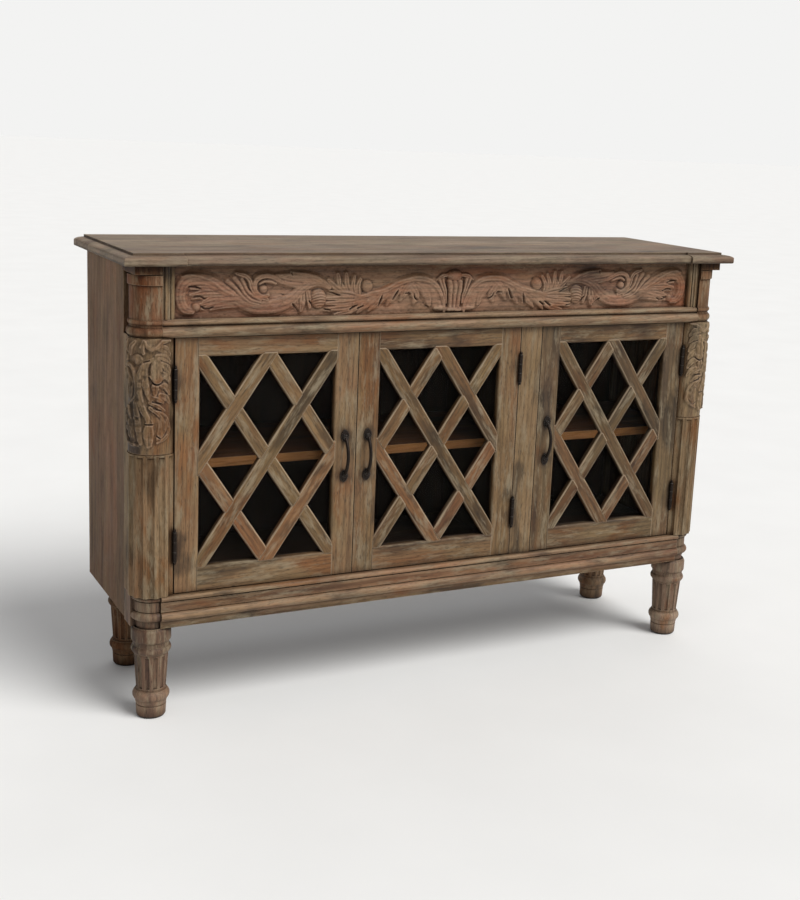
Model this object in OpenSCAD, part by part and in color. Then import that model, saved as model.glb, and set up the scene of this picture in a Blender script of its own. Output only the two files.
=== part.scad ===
// Carved sideboard with three latticed glass doors, fluted corner posts and four turned legs.
// The origin is at the middle of the footprint on the floor. X is the width, the front faces -Y, Z is up.

/* [Top] */
// Width of the top over its corner sections
top_w = 1498.6; // [1460:0.1:1800]
// Depth of the top over its corner sections
top_d = 431.8; // [400:0.1:520]
// Thickness of the top
top_t = 24.6; // [18:0.1:40]
// Width of the moulded lip along the front and the ends
lip_w = 22; // [12:0.5:26]
// Height of the upright step where the raised field drops to the lip
lip_step = 5; // [2:0.5:6]
// Height that the lip falls from the step to its nose
lip_fall = 7; // [3:0.5:9]
// How far the two front corner sections stand forward of the middle
ear_d = 5; // [2:0.5:10]
// Width of each front corner section
ear_w = 125; // [100:1:180]
// Overhang of the top behind the back
back_overhang = 8; // [4:1:40]
// Overhang of the top in front of the door faces
front_overhang = 33; // [25:1:60]

/* [Case] */
// Overhang of the top past the side panels at each end
end_overhang = 27.3; // [26.3:0.1:60]
// Thickness of the side panels
side_t = 20; // [16:1:26]
// Height of the side panels' and rear rail's lower edge above the tops of the legs
side_lift = 5; // [2:1:26]
// Height of the door opening
opening_h = 545; // [480:1:640]
// Height of the frieze between the doors and the top
frieze_h = 146; // [130:1:180]
// Height of the moulded base between the legs and the doors
base_h = 71; // [66:1:100]
// Thickness of the floor board
floor_t = 18; // [12:1:24]
// Step from the door opening down to the floor board
floor_drop = 3; // [1:1:8]
// Thickness of the back panel
back_t = 8; // [4:1:12]
// Thickness of the partition behind the fixed stile
partition_t = 18; // [12:1:24]
// Thickness of the shelves
shelf_t = 20; // [14:1:26]
// Height of the upper face of the shelves above the floor
shelf_z = 542; // [420:1:640]
// Side of the square shelf cleats
cleat = 20; // [12:1:26]

/* [Corner posts] */
// Width of each post from the side of the case to the door opening
post_w = 82; // [80:1:110]
// Depth of the square rear part of a post behind its axis
post_rear = 48; // [47:1:60]
// Distance of the post axis in from the side of the case
post_axis_in = 44.5; // [43:0.5:50]
// Distance of the post axis behind the door faces
post_axis_back = 33; // [32:1:36]
// Radius of the round post below its capital
post_r = 49; // [46:0.5:49]
// Half the side of the square block on top of the capital
capital_block = 46.5; // [44:0.5:48]
// Height of the square block
capital_block_h = 18; // [12:1:26]
// Radius of the band below the block
capital_band_r = 48.5; // [46:0.5:49]
// Radius of the plain shaft of the capital
capital_shaft_r = 45; // [42:0.5:46]
// Radius of the torus at the foot of the capital
capital_torus_r = 51; // [49:0.5:52]
// Height of the carved part of a post
carving_h = 240; // [180:5:280]
// Radius of the ground that the carving of a post stands on
carving_ground_r = 47.5; // [46:0.5:49]
// Angle between neighbouring flutes of a post
post_flute_angle = 27.5; // [26:0.5:32]
// Radius of the gouge that cuts the flutes of a post
post_flute_r = 12; // [10:0.5:13]
// Depth of the flutes of a post
post_flute_depth = 3.5; // [2:0.5:5]
// Angle of the middle flute from the front towards the side of the case
post_flute_turn = 17; // [10:1:24]

/* [Frieze] */
// Thickness of the carved frieze board
frieze_t = 20; // [14:1:26]
// Depth of the frieze ground and the base rail behind the door faces
ground_back = 7; // [5:1:10]
// Width of the moulding at each end of the frieze
frieze_end_w = 28; // [22:1:32]
// How far the end mouldings stand in front of the frieze ground
frieze_end_proud = 15; // [10:1:18]
// Height of the moulding below the frieze ground
frieze_foot_h = 37; // [30:1:44]
// Radius of the roll of that moulding
frieze_roll_r = 11; // [8:0.5:12]
// How far that moulding stands in front of the frieze ground
frieze_foot_proud = 24; // [18:1:26]

/* [Base] */
// How far the lower roll of the base stands in front of the frieze ground
base_roll_proud = 23; // [20:1:25]
// Height of the recessed strip at the foot of the base
base_strip_h = 14; // [8:1:20]
// Diameter of the lower roll of the base
base_roll_h = 20; // [16:1:24]
// Height of the flat band of the base
base_band_h = 21; // [14:1:26]
// Radius of the corner drums at their lower roll
drum_r = 44; // [43:0.5:46]
// Thickness of the rail behind the base moulding
base_rail_t = 20; // [14:1:26]

/* [Legs] */
// Height of the legs
leg_h = 204; // [170:1:260]
// Radius of the legs at their top roll
leg_r = 42; // [38:0.5:44]
// Radius of the fluted shaft at its upper end
leg_shaft_top_r = 36; // [33:0.5:37]
// Radius of the fluted shaft at its lower end
leg_shaft_low_r = 31; // [28:0.5:33]
// Radius of the lower bead of a leg
leg_bead_r = 39; // [36:0.5:41]
// Radius of the foot of a leg
foot_r = 32; // [28:0.5:34]
// Height of the foot below its groove
foot_h = 28; // [20:1:34]
// Number of flutes around a leg
leg_flutes = 12; // [10:1:14]
// Radius of the gouge that cuts the flutes of a leg
leg_flute_r = 6.5; // [5:0.5:8]
// Depth of the flutes of a leg
leg_flute_depth = 2.5; // [1.5:0.5:3.5]
// Distance of a rear leg axis in from the side of the case
rear_leg_side = 70; // [66:1:110]
// Distance of a rear leg axis in from the back of the case
rear_leg_back = 62; // [50:1:90]
// Twice the reach of a rear leg block from its leg axis towards the middle of the case
leg_block = 88; // [84:1:96]
// Radius of the round spigot on top of each leg
spigot_r = 14; // [10:0.5:18]
// Height of the spigot
spigot_h = 30; // [20:1:38]

/* [Doors] */
// Thickness of the doors
door_t = 22; // [20:1:26]
// Gap around each door
gap = 2; // [1.8:0.1:3]
// Width of the fixed stile between the middle and the right door
divider_w = 55; // [46:1:80]
// Width of the door stiles
stile_w = 52; // [44:1:60]
// Width of the top rail of a door
top_rail_w = 40; // [34:1:60]
// Width of the bottom rail of a door
bottom_rail_w = 54; // [44:1:70]
// Rounded edge on the stiles, rails and lattice bars, across the corner
edge = 5; // [3:0.5:6]
// Length of the tenons on the door rails
tenon_l = 30; // [16:1:36]
// Thickness of the tenons
tenon_t = 7; // [5:0.5:8]
// Width of the lattice bars
bar_w = 32; // [24:0.5:38]
// Thickness of the lattice bars
bar_t = 14; // [12:0.5:15]
// Thickness of the glass
glass_t = 3; // [2:0.5:4]
// Width of the rebate that holds the glass
rebate = 8; // [6:0.5:10]

/* [Ironwork] */
// Length of the knuckles of a hinge
hinge_l = 64; // [50:1:80]
// Radius of the hinge barrels
barrel_r = 4.25; // [3.5:0.05:4.5]
// Radius of the hinge pins
pin_r = 2; // [1.5:0.1:2.4]
// Width of a hinge leaf
leaf_w = 19; // [14:1:20]
// Thickness of a hinge leaf
leaf_t = 1.4; // [1:0.1:1.6]
// Distance of the hinge axis in front of the door faces
barrel_stand = 4.6; // [4.6:0.1:6]
// Height of the middle of the upper hinges above the foot of a door
hinge_upper = 447; // [400:1:460]
// Height of the middle of the lower hinges above the foot of a door
hinge_lower = 103; // [70:1:130]
// Distance between the middles of the two pads of a handle
handle_l = 84; // [64:1:100]
// How far the bow of a handle reaches in front of the door
handle_reach = 26; // [22:0.5:34]
// Radius of the bow rod
bow_r = 3.6; // [3:0.1:4]
// Height of the middle of a handle above the foot of a door
handle_z = 270; // [220:1:330]
// Width of a strike plate
strike_w = 30; // [20:1:40]
// Height of a strike plate
strike_h = 12; // [8:1:16]
// Thickness of a strike plate
strike_t = 1.2; // [0.8:0.1:2]
// Width of a magnetic catch
catch_w = 46; // [30:1:48]
// Depth of a magnetic catch
catch_d = 14; // [10:1:18]
// Height of a magnetic catch
catch_h = 16; // [10:1:20]

/* [Hidden] */
$fn = 64;

// Clearances and how far a cut runs past its face
cut = 1;
spigot_gap = 0.1;
tenon_gap = 0.1;
pin_gap = 0.05;
knuckle_gap = 0.4;
leaf_gap = 0.2;
bead_gap = 0.3;
glass_gap = 1;
strike_gap = 0.4;

// Heights of the case
z_side = leg_h + side_lift;
z_base = leg_h + base_h;
z_head = z_base + opening_h;
z_top = z_head + frieze_h;
z_floor = z_base - floor_drop;
z_floor_low = z_floor - floor_t;

// Planes of the case
y_back = top_d / 2 - back_overhang;
y_inner = y_back - back_t;
y_face = -top_d / 2 + front_overhang;
y_ground = y_face + ground_back;
x_side = top_w / 2 - end_overhang;
x_inner = x_side - side_t;
x_open = x_side - post_w;

// Axis of a corner post, and the inner face of the post measured from that axis
post_x = x_side - post_axis_in;
post_y = y_face + post_axis_back;
post_in = x_open - post_x;
y_post_rear = post_y + post_rear;

// Doors, the fixed stile between them and the hinge axes
door_w = (2 * x_open - divider_w - 5 * gap) / 3;
door_h = opening_h - 2 * gap;
door_z = z_base + gap;
x_divider = -x_open + 2 * door_w + 3 * gap;
x_partition = x_divider + divider_w / 2;
hinge_x = [-x_open + gap / 2, x_divider - gap / 2, x_open - gap / 2];
sight_w = door_w - 2 * stile_w;
sight_h = door_h - top_rail_w - bottom_rail_w;

wood = "#8b7156";
dark_wood = "#6d5745";
red_wood = "#8a5f49";
iron = "#2b2724";

// Lays an outline, with u towards the front and v up, along X
module run_along_x(length) {
    rotate([90, 0, 90]) mirror([1, 0, 0]) linear_extrude(length) children();
}

// A child made for the right-hand side, on the side that is asked for
module on_side(side) {
    mirror([side < 0 ? 1 : 0, 0, 0]) children();
}

// Wood that is planed off the top for its lip, with u outwards and v up, from the edge of the raised field
module lip_waste() {
    nose = lip_step + lip_fall;
    soft = 3;
    thumb = [for (t = [0:10:90]) [lip_w * sin(t), -nose + lip_fall * cos(t)]];
    under = [for (t = [0:15:90]) [lip_w - soft + soft * sin(t), -top_t + soft - soft * cos(t)]];
    polygon(concat([[0, cut]], thumb, [[lip_w + cut, -nose], [lip_w + cut, cut]]));
    low = -top_t - cut;
    polygon(concat(under, [[lip_w + cut, -top_t + soft], [lip_w + cut, low], [lip_w - soft, low]]));
}

module front_lip_waste(x0, x1, nose_y) {
    translate([x0, nose_y + lip_w, z_top + top_t]) run_along_x(x1 - x0) lip_waste();
}

module end_lip_waste() {
    translate([top_w / 2 - lip_w, top_d / 2 + cut, z_top + top_t])
        rotate([90, 0, 0]) linear_extrude(top_d + 2 * cut) lip_waste();
}

// Solid top, moulded on the front and both ends, with its front corners standing forward
module top_board() {
    x_ear = top_w / 2 - ear_w;
    color(wood) difference() {
        translate([-top_w / 2, -top_d / 2, z_top]) cube([top_w, top_d, top_t]);
        translate([-x_ear, -top_d / 2 - cut, z_top - cut]) cube([2 * x_ear, ear_d + cut, top_t + 2 * cut]);
        front_lip_waste(-x_ear, x_ear, -top_d / 2 + ear_d);
        front_lip_waste(-top_w / 2 - cut, -x_ear, -top_d / 2);
        front_lip_waste(x_ear, top_w / 2 + cut, -top_d / 2);
        for (side = [-1, 1]) on_side(side) end_lip_waste();
    }
}

// Plain side board between the post and the back
module side_panel(side) {
    color(dark_wood) on_side(side) translate([x_inner, y_post_rear, z_side])
        cube([side_t, y_back - y_post_rear, z_top - z_side]);
}

module back_panel() {
    color(dark_wood) translate([-x_inner, y_inner, z_floor_low])
        cube([2 * x_inner, back_t, z_top - z_floor_low]);
}

// Floor of the case, notched around the posts
module floor_board() {
    color(dark_wood) difference() {
        translate([-x_inner, y_ground, z_floor_low]) cube([2 * x_inner, y_inner - y_ground, floor_t]);
        for (side = [-1, 1]) on_side(side) translate([x_open, y_ground - cut, z_floor_low - cut])
            cube([post_w, y_post_rear - y_ground + cut, floor_t + 2 * cut]);
    }
}

// Partition behind the fixed stile, notched for the frieze board
module partition() {
    x0 = x_partition - partition_t / 2;
    y0 = y_face + door_t;
    color(dark_wood) difference() {
        translate([x0, y0, z_floor]) cube([partition_t, y_inner - y0, z_top - z_floor]);
        translate([x0 - cut, y_ground - cut, z_head])
            cube([partition_t + 2 * cut, frieze_t + cut, frieze_h + cut]);
    }
}

module shelf(x0, x1) {
    color(wood) translate([x0, y_post_rear, shelf_z - shelf_t])
        cube([x1 - x0, y_inner - y_post_rear, shelf_t]);
}

// Four strips that carry the ends of the two shelves
module shelf_cleats() {
    half = partition_t / 2;
    color(dark_wood) for (x = [-x_inner, x_partition - half - cleat, x_partition + half, x_inner - cleat])
        translate([x, y_post_rear + cleat, shelf_z - shelf_t - cleat])
            cube([cleat, y_inner - y_post_rear - 2 * cleat, cleat]);
}

// Fixed stile between the middle and the right door
module divider_stile() {
    color(wood) difference() {
        translate([x_divider, y_face, z_base]) cube([divider_w, door_t, opening_h]);
        at_hinge(1) case_leaf_pockets();
    }
}

module frieze_panel() {
    color(red_wood) translate([-x_open, y_ground, z_head]) cube([2 * x_open, frieze_t, frieze_h]);
}

// Flat with a ridge on it and a bead beside it, at each end of the frieze
module frieze_end_mouldings() {
    bead_r = 5.5;
    ridge_r = 3;
    flat_w = frieze_end_w - 2 * bead_r;
    color(wood) for (side = [-1, 1]) on_side(side)
        translate([x_open, y_ground, z_head + frieze_foot_h]) linear_extrude(frieze_h - frieze_foot_h)
            mirror([0, 1, 0]) {
                square([2 * bead_r, frieze_end_proud - ridge_r - bead_r]);
                translate([bead_r, frieze_end_proud - ridge_r - bead_r]) circle(bead_r);
                translate([2 * bead_r, 0]) square([flat_w, frieze_end_proud - ridge_r]);
                translate([2 * bead_r + flat_w / 2, frieze_end_proud - ridge_r]) circle(ridge_r);
            }
}

// Bead over a larger roll along the foot of the frieze
module frieze_foot_moulding() {
    x_end = x_open + frieze_end_w;
    core = frieze_foot_proud - frieze_roll_r;
    bead_r = (frieze_foot_h - 2 * frieze_roll_r - 3) / 2;
    color(wood) translate([-x_end, y_ground, z_head]) run_along_x(2 * x_end) {
        square([core, frieze_foot_h]);
        translate([core, 1 + frieze_roll_r]) circle(frieze_roll_r);
        translate([core - 1, frieze_foot_h - 1 - bead_r]) circle(bead_r);
    }
}

// Half section of the turned capital between the door head and the square block
module capital_outline() {
    torus_r = 11;
    ring_r = 6;
    band_h = 22;
    top = frieze_h - capital_block_h;
    square([capital_shaft_r, top]);
    translate([0, 1]) square([capital_torus_r - torus_r, 2 * torus_r]);
    translate([capital_torus_r - torus_r, 1 + torus_r]) circle(torus_r);
    translate([capital_band_r - ring_r, 3 + 2 * torus_r + ring_r]) circle(ring_r);
    translate([0, top - band_h]) square([capital_band_r, band_h - 2]);
}

// Turned capital for the right-hand corner about its axis, notched for the frieze and its end moulding
module capital() {
    notch = frieze_end_w + post_in;
    difference() {
        union() {
            rotate_extrude() capital_outline();
            translate([-capital_block, -capital_block, frieze_h - capital_block_h])
                cube([2 * capital_block, capital_block + post_rear, capital_block_h]);
        }
        translate([notch - 2 * post_r, y_ground - post_y - 2 * post_r, -cut])
            cube([2 * post_r, 2 * post_r, frieze_h + 2 * cut]);
        translate([post_in - 2 * post_r, y_ground - post_y - cut, -cut])
            cube([2 * post_r, frieze_t + cut, frieze_h + 2 * cut]);
    }
}

// Post for the right-hand corner about its own axis: round and fluted in front, square behind
module post_body() {
    tall = opening_h + 2 * cut;
    flute_stop = 4;
    difference() {
        union() {
            cylinder(r = post_r, h = opening_h - carving_h);
            cylinder(r = carving_ground_r, h = opening_h);
            translate([post_in - cut, 0, 0]) cube([post_w + cut, 2 * post_r, opening_h]);
        }
        translate([post_in - 2 * post_r, -2 * post_r, -cut]) cube([2 * post_r, 4 * post_r, tall]);
        translate([-2 * post_r, post_rear, -cut]) cube([4 * post_r, 2 * post_r, tall]);
        for (i = [-2:2]) rotate(post_flute_turn + i * post_flute_angle)
            translate([0, -post_r - post_flute_r + post_flute_depth, -cut])
                cylinder(r = post_flute_r, h = opening_h - carving_h - flute_stop + cut);
    }
}

module corner_post(side) {
    color(wood) difference() {
        on_side(side) translate([post_x, post_y, z_base]) {
            post_body();
            translate([0, 0, opening_h]) capital();
        }
        at_hinge(side < 0 ? 0 : 2) case_leaf_pockets();
    }
}

// Section of the base moulding: a strip, a roll, a flat band and a bead, reaching out to its roll
module base_outline(reach) {
    strip_in = 11;
    band_in = 7;
    bead_in = 2;
    roll_r = base_roll_h / 2;
    roll_z = base_strip_h + 2 + roll_r;
    band_z = roll_z + roll_r + 1;
    bead_r = (base_h - band_z - base_band_h - 2) / 2;
    square([reach - strip_in, base_h - bead_r]);
    translate([0, roll_z - roll_r]) square([reach - roll_r, base_roll_h]);
    translate([reach - roll_r, roll_z]) circle(roll_r);
    translate([0, band_z]) square([reach - band_in, base_band_h]);
    translate([0, base_h - 2 * bead_r]) square([reach - bead_in - bead_r, 2 * bead_r]);
    translate([reach - bead_in - bead_r, base_h - bead_r]) circle(bead_r);
}

module base_front_moulding() {
    x_end = x_open + frieze_end_w;
    color(wood) translate([-x_end, y_ground, leg_h]) run_along_x(2 * x_end) base_outline(base_roll_proud);
}

module base_front_rail() {
    color(dark_wood) translate([-x_open, y_ground, leg_h])
        cube([2 * x_open, base_rail_t, z_floor_low - leg_h]);
}

module base_rear_rail() {
    color(dark_wood) translate([-x_inner, y_back - base_rail_t, z_side])
        cube([2 * x_inner, base_rail_t, z_floor_low - z_side]);
}

// Drum under a post with the same section as the base moulding, square behind, bored for the leg
module base_drum(side) {
    color(wood) on_side(side) translate([post_x, post_y, leg_h]) difference() {
        union() {
            rotate_extrude() base_outline(drum_r);
            translate([post_in, 0, 0]) cube([post_w, post_rear, base_h]);
        }
        translate([post_in - 2 * drum_r, -2 * drum_r, -cut]) cube([2 * drum_r, 4 * drum_r, base_h + 2 * cut]);
        translate([-2 * drum_r, post_rear, -cut]) cube([4 * drum_r, drum_r, base_h + 2 * cut]);
        translate([post_in - cut, y_ground - post_y - drum_r, -cut])
            cube([frieze_end_w + cut, drum_r, base_h + 2 * cut]);
        spigot_bore();
    }
}

module spigot_bore() {
    translate([0, 0, -cut]) cylinder(r = spigot_r + spigot_gap, h = spigot_h + spigot_gap + cut);
}

module at_rear_leg(side) {
    translate([side * (x_side - rear_leg_side), y_back - rear_leg_back, 0]) children();
}

// Blocks in the rear corners under the floor board that carry the rear legs
module rear_leg_blocks() {
    size_x = leg_block / 2 + rear_leg_side - side_t;
    size_y = leg_block / 2 + rear_leg_back - base_rail_t;
    color(dark_wood) for (side = [-1, 1]) on_side(side) at_rear_leg(1) translate([0, 0, leg_h]) difference() {
        translate([-leg_block / 2, -leg_block / 2, 0]) cube([size_x, size_y, z_floor_low - leg_h]);
        spigot_bore();
    }
}

// Turned leg: foot, neck, bead, fluted taper, bead, roll and a spigot for the drum or block above
module leg() {
    neck_h = 9;
    bead_r = 12.5;
    upper_r = 9.5;
    roll_h = 36;
    groove = 5;
    toe_r = foot_r - 6;
    bead_z = foot_h + neck_h;
    shaft_z = bead_z + 2 * bead_r;
    roll_z = leg_h - roll_h;
    upper_z = roll_z - groove - 2 * upper_r;
    top_z = leg_h + spigot_h;
    flute_z = shaft_z + groove;
    tilt = atan((leg_shaft_top_r - leg_shaft_low_r) / (upper_z - shaft_z));
    foot = [[0, 0], [toe_r, 0], [toe_r + 3, 1.5], [toe_r + 5, 5], [foot_r, foot_h - 1.5]];
    groove_edge = [[foot_r - 1.5, foot_h], [foot_r, foot_h + 1.5]];
    neck = [[foot_r + 2, bead_z + 1], [foot_r + 2, shaft_z - 1]];
    shaft = [[leg_shaft_low_r, shaft_z], [leg_shaft_top_r, upper_z], [leg_r - 4, upper_z + 1]];
    head = [[leg_r - 4, leg_h], [spigot_r, leg_h], [spigot_r, top_z], [0, top_z]];
    color(wood) difference() {
        rotate_extrude() {
            polygon(concat(foot, groove_edge, neck, shaft, head));
            translate([leg_bead_r - bead_r, bead_z + bead_r]) circle(bead_r);
            translate([leg_r - upper_r, upper_z + upper_r]) circle(upper_r);
            soft_band(leg_r, roll_z, leg_h, roll_h / 4);
        }
        for (i = [1:leg_flutes]) rotate(i * 360 / leg_flutes)
            translate([leg_shaft_low_r + leg_flute_r - leg_flute_depth, 0, flute_z])
                rotate([0, tilt, 0]) cylinder(r = leg_flute_r, h = upper_z - groove - flute_z);
    }
}

// Half section of a straight band with soft edges, between two heights
module soft_band(r, z0, z1, soft) {
    translate([0, z0]) square([r - soft, z1 - z0]);
    translate([0, z0 + soft]) square([r, z1 - z0 - 2 * soft]);
    for (z = [z0 + soft, z1 - soft]) translate([r - soft, z]) circle(soft);
}

// A child made about a hinge axis: the door lies towards +X, its face is at y = 0 and its foot at z = 0
module at_hinge(door) {
    translate([hinge_x[door], y_face, door_z]) mirror([door > 0 ? 1 : 0, 0, 0]) children();
}

// A child made for a door whose hinge edge, face and foot are at the origin
module at_door(door) {
    at_hinge(door) translate([gap / 2, 0, 0]) children();
}

// Board with its front edge rounded along the sight of the door, from x = 0 to the width
module frame_section(width) {
    rounding = [for (t = [0:22.5:90]) [width - edge + edge * sin(t), edge - edge * cos(t)]];
    polygon(concat([[0, 0]], rounding, [[width, door_t], [0, door_t]]));
}

module stile_board() {
    linear_extrude(door_h) frame_section(stile_w);
}

module lock_side() {
    translate([door_w, 0, 0]) mirror([1, 0, 0]) children();
}

module top_side() {
    translate([0, 0, door_h]) mirror([0, 0, 1]) children();
}

// Rail board at the foot of a door, as long as the sight and the rounded edges beside it
module rail_board(width) {
    translate([stile_w - edge, 0, 0]) rotate([0, 90, 0]) linear_extrude(sight_w + 2 * edge)
        rotate(180) mirror([0, 1, 0]) frame_section(width);
}

// Space behind the lattice for the glass and its beads
module glass_rebate() {
    translate([stile_w - rebate, bar_t, bottom_rail_w - rebate])
        cube([sight_w + 2 * rebate, door_t - bar_t + cut, sight_h + 2 * rebate]);
}

// Tenon or its mortise, at the foot of a door, with a clearance round it
module tenon(width, clearance) {
    shoulder = 7;
    length = tenon_l + clearance;
    translate([stile_w - length, (bar_t - tenon_t) / 2 - clearance, shoulder - clearance])
        cube([length + cut, tenon_t + 2 * clearance, width - rebate - shoulder + 2 * clearance]);
}

module stile() {
    difference() {
        stile_board();
        glass_rebate();
        tenon(bottom_rail_w, tenon_gap);
        top_side() tenon(top_rail_w, tenon_gap);
    }
}

module hinge_stile() {
    color(wood) difference() {
        stile();
        translate([-gap / 2, 0, 0]) door_leaf_pockets();
    }
}

module lock_stile() {
    color(wood) lock_side() stile();
}

module rail(width) {
    difference() {
        rail_board(width);
        stile_board();
        lock_side() stile_board();
    }
    tenon(width, 0);
    lock_side() tenon(width, 0);
}

module bottom_rail() {
    color(wood) difference() {
        rail(bottom_rail_w);
        glass_rebate();
    }
}

module top_rail() {
    color(wood) difference() {
        top_side() rail(top_rail_w);
        glass_rebate();
    }
}

// Section of a lattice bar between two depths, rounded on its front edges
module bar_section(y0, y1) {
    half = bar_w / 2;
    right = [for (t = [90:-22.5:0]) [half - edge + edge * sin(t), edge - edge * cos(t)]];
    left = [for (t = [0:22.5:90]) [-half + edge - edge * sin(t), edge - edge * cos(t)]];
    intersection() {
        polygon(concat([[half, bar_t]], right, left, [[-half, bar_t]]));
        translate([-half, y0]) square([bar_w, y1 - y0]);
    }
}

// Three parallel bars of the lattice: one from corner to corner and a half bar on each side of it
module bars(y0, y1, past) {
    lean = atan(sight_w / sight_h);
    reach = norm([sight_w, sight_h]);
    z_mid = bottom_rail_w + sight_h / 2;
    translate([door_w / 2, 0, z_mid]) rotate([0, lean, 0])
        linear_extrude(reach + 2 * bar_w, center = true) bar_section(y0, y1);
    for (i = [-1, 1]) translate([door_w / 2 + i * sight_w / 4, 0, z_mid - i * sight_h / 4])
        rotate([0, lean, 0]) linear_extrude(reach / 2 + 2 * past, center = true) bar_section(y0, y1);
}

// Bars that lean towards the lock side, their half bars running past the crossings at the frame
module leaning_bars(y0, y1) {
    bars(y0, y1, bar_w);
}

// Bars that lean towards the hinge side, their half bars ending at the crossings at the frame
module crossing_bars(y0, y1) {
    lock_side() bars(y0, y1, 0);
}

// Keeps a set of bars inside the frame and scribes their ends to its rounded edges
module fit_bars() {
    difference() {
        intersection() {
            children();
            translate([stile_w - edge, -cut, bottom_rail_w - edge])
                cube([sight_w + 2 * edge, bar_t + 2 * cut, sight_h + 2 * edge]);
        }
        stile_board();
        lock_side() stile_board();
        rail_board(bottom_rail_w);
        top_side() rail_board(top_rail_w);
    }
}

// The bars are halved where they cross: one set keeps its front half there, the other its rear half
module lattice_front_bars() {
    color(wood) fit_bars() difference() {
        leaning_bars(0, bar_t);
        crossing_bars(bar_t / 2, bar_t);
    }
}

module lattice_rear_bars() {
    color(wood) fit_bars() difference() {
        crossing_bars(0, bar_t);
        leaning_bars(0, bar_t / 2);
    }
}

module glass() {
    out = rebate - glass_gap;
    color("#20242480") translate([stile_w - out, bar_t, bottom_rail_w - out])
        cube([sight_w + 2 * out, glass_t, sight_h + 2 * out]);
}

// Four strips that hold the glass in its rebate
module glass_beads() {
    deep = door_t - bar_t - glass_t;
    color(dark_wood) translate([stile_w - rebate, door_t - deep, bottom_rail_w - rebate]) {
        for (x = [0, sight_w + rebate]) translate([x, 0, 0]) cube([rebate, deep, sight_h + 2 * rebate]);
        for (z = [0, sight_h + rebate]) translate([rebate + bead_gap, 0, z])
            cube([sight_w - 2 * bead_gap, deep, rebate]);
    }
}

// Outline of a handle pad: a leaf with a point at each end
module pad_outline() {
    half_w = 9;
    half_l = 14;
    leaf_r = (half_l * half_l + half_w * half_w) / (2 * half_w);
    intersection() {
        translate([leaf_r - half_w, 0]) circle(leaf_r);
        translate([half_w - leaf_r, 0]) circle(leaf_r);
    }
}

// Forged bow pull on the lock stile: two leaf pads, two bosses and a bowed rod
module handle() {
    pad_t = 3;
    boss_h = 8;
    sag = handle_reach - bow_r - boss_h + bow_r;
    bow_arc_r = (handle_l * handle_l / 4 + sag * sag) / (2 * sag);
    sweep = asin(handle_l / 2 / bow_arc_r);
    color(iron) translate([door_w - stile_w / 2, 0, handle_z]) {
        for (end = [-1, 1]) translate([0, 0, end * handle_l / 2]) rotate([90, 0, 0]) {
            translate([0, end * 3, 0]) linear_extrude(pad_t) pad_outline();
            cylinder(r = bow_r + 1.5, h = boss_h);
        }
        translate([0, bow_arc_r - handle_reach + bow_r, 0]) rotate([0, -90, 0]) rotate(-90 - sweep)
            rotate_extrude(angle = 2 * sweep) translate([bow_arc_r, 0]) circle(bow_r);
    }
}

// Heights of the two hinges of a door
module at_hinges() {
    for (z = [hinge_lower, hinge_upper]) translate([0, 0, z]) children();
}

module knuckle(z0, z1) {
    translate([0, -barrel_stand, z0]) cylinder(r = barrel_r, h = z1 - z0);
    translate([leaf_gap / 2, -barrel_stand, z0]) cube([leaf_t, barrel_stand + cut, z1 - z0]);
}

module leaf_plate() {
    translate([leaf_gap / 2, 0, -hinge_l / 2]) cube([leaf_t, leaf_w, hinge_l]);
}

module pin_bore() {
    translate([0, -barrel_stand, -hinge_l]) cylinder(r = pin_r + pin_gap, h = 2 * hinge_l);
}

// Leaves on the doors, each with the middle knuckle
module door_hinge_leaves() {
    color(iron) at_hinges() difference() {
        union() {
            leaf_plate();
            knuckle(-hinge_l / 6 + knuckle_gap / 2, hinge_l / 6 - knuckle_gap / 2);
        }
        pin_bore();
    }
}

// Leaves on the case, each with the two outer knuckles, and the pins with their small ball tips
module case_hinge_leaves() {
    color(iron) at_hinges() {
        difference() {
            mirror([1, 0, 0]) {
                leaf_plate();
                knuckle(-hinge_l / 2, -hinge_l / 6 - knuckle_gap / 2);
                knuckle(hinge_l / 6 + knuckle_gap / 2, hinge_l / 2);
            }
            pin_bore();
        }
        hinge_pin();
    }
}

module case_hinges() {
    for (door = [0:2]) at_hinge(door) case_hinge_leaves();
}

module hinge_pin() {
    ball_r = 3.2;
    collar = 1.6;
    tip = hinge_l / 2 + knuckle_gap;
    translate([0, -barrel_stand, -tip - collar]) cylinder(r = pin_r, h = 2 * (tip + collar));
    for (end = [-1, 1]) translate([0, -barrel_stand, end * (tip + ball_r)]) sphere(ball_r);
}

// Pockets that let the leaves into the edge of the door and into the post or fixed stile
module door_leaf_pockets() {
    at_hinges() translate([0, -cut, -hinge_l / 2]) cube([leaf_gap / 2 + leaf_t, leaf_w + cut, hinge_l]);
}

module case_leaf_pockets() {
    mirror([1, 0, 0]) at_hinges() translate([0, -barrel_stand, -hinge_l / 2])
        cube([leaf_gap / 2 + leaf_t, barrel_stand + leaf_w, hinge_l]);
}

// Steel plate on the back of a door, and the magnet on the floor board that holds it
module strike_plate() {
    color(iron) translate([door_w - stile_w / 2 - strike_w / 2, door_t, 1])
        cube([strike_w, strike_t, strike_h]);
}

module magnetic_catch() {
    x = door_w - stile_w / 2 - catch_w / 2;
    color("#3a332c") translate([x, door_t + strike_t + strike_gap, z_floor - door_z])
        cube([catch_w, catch_d, catch_h]);
}

module magnetic_catches() {
    for (door = [0:2]) at_door(door) magnetic_catch();
}

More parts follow.
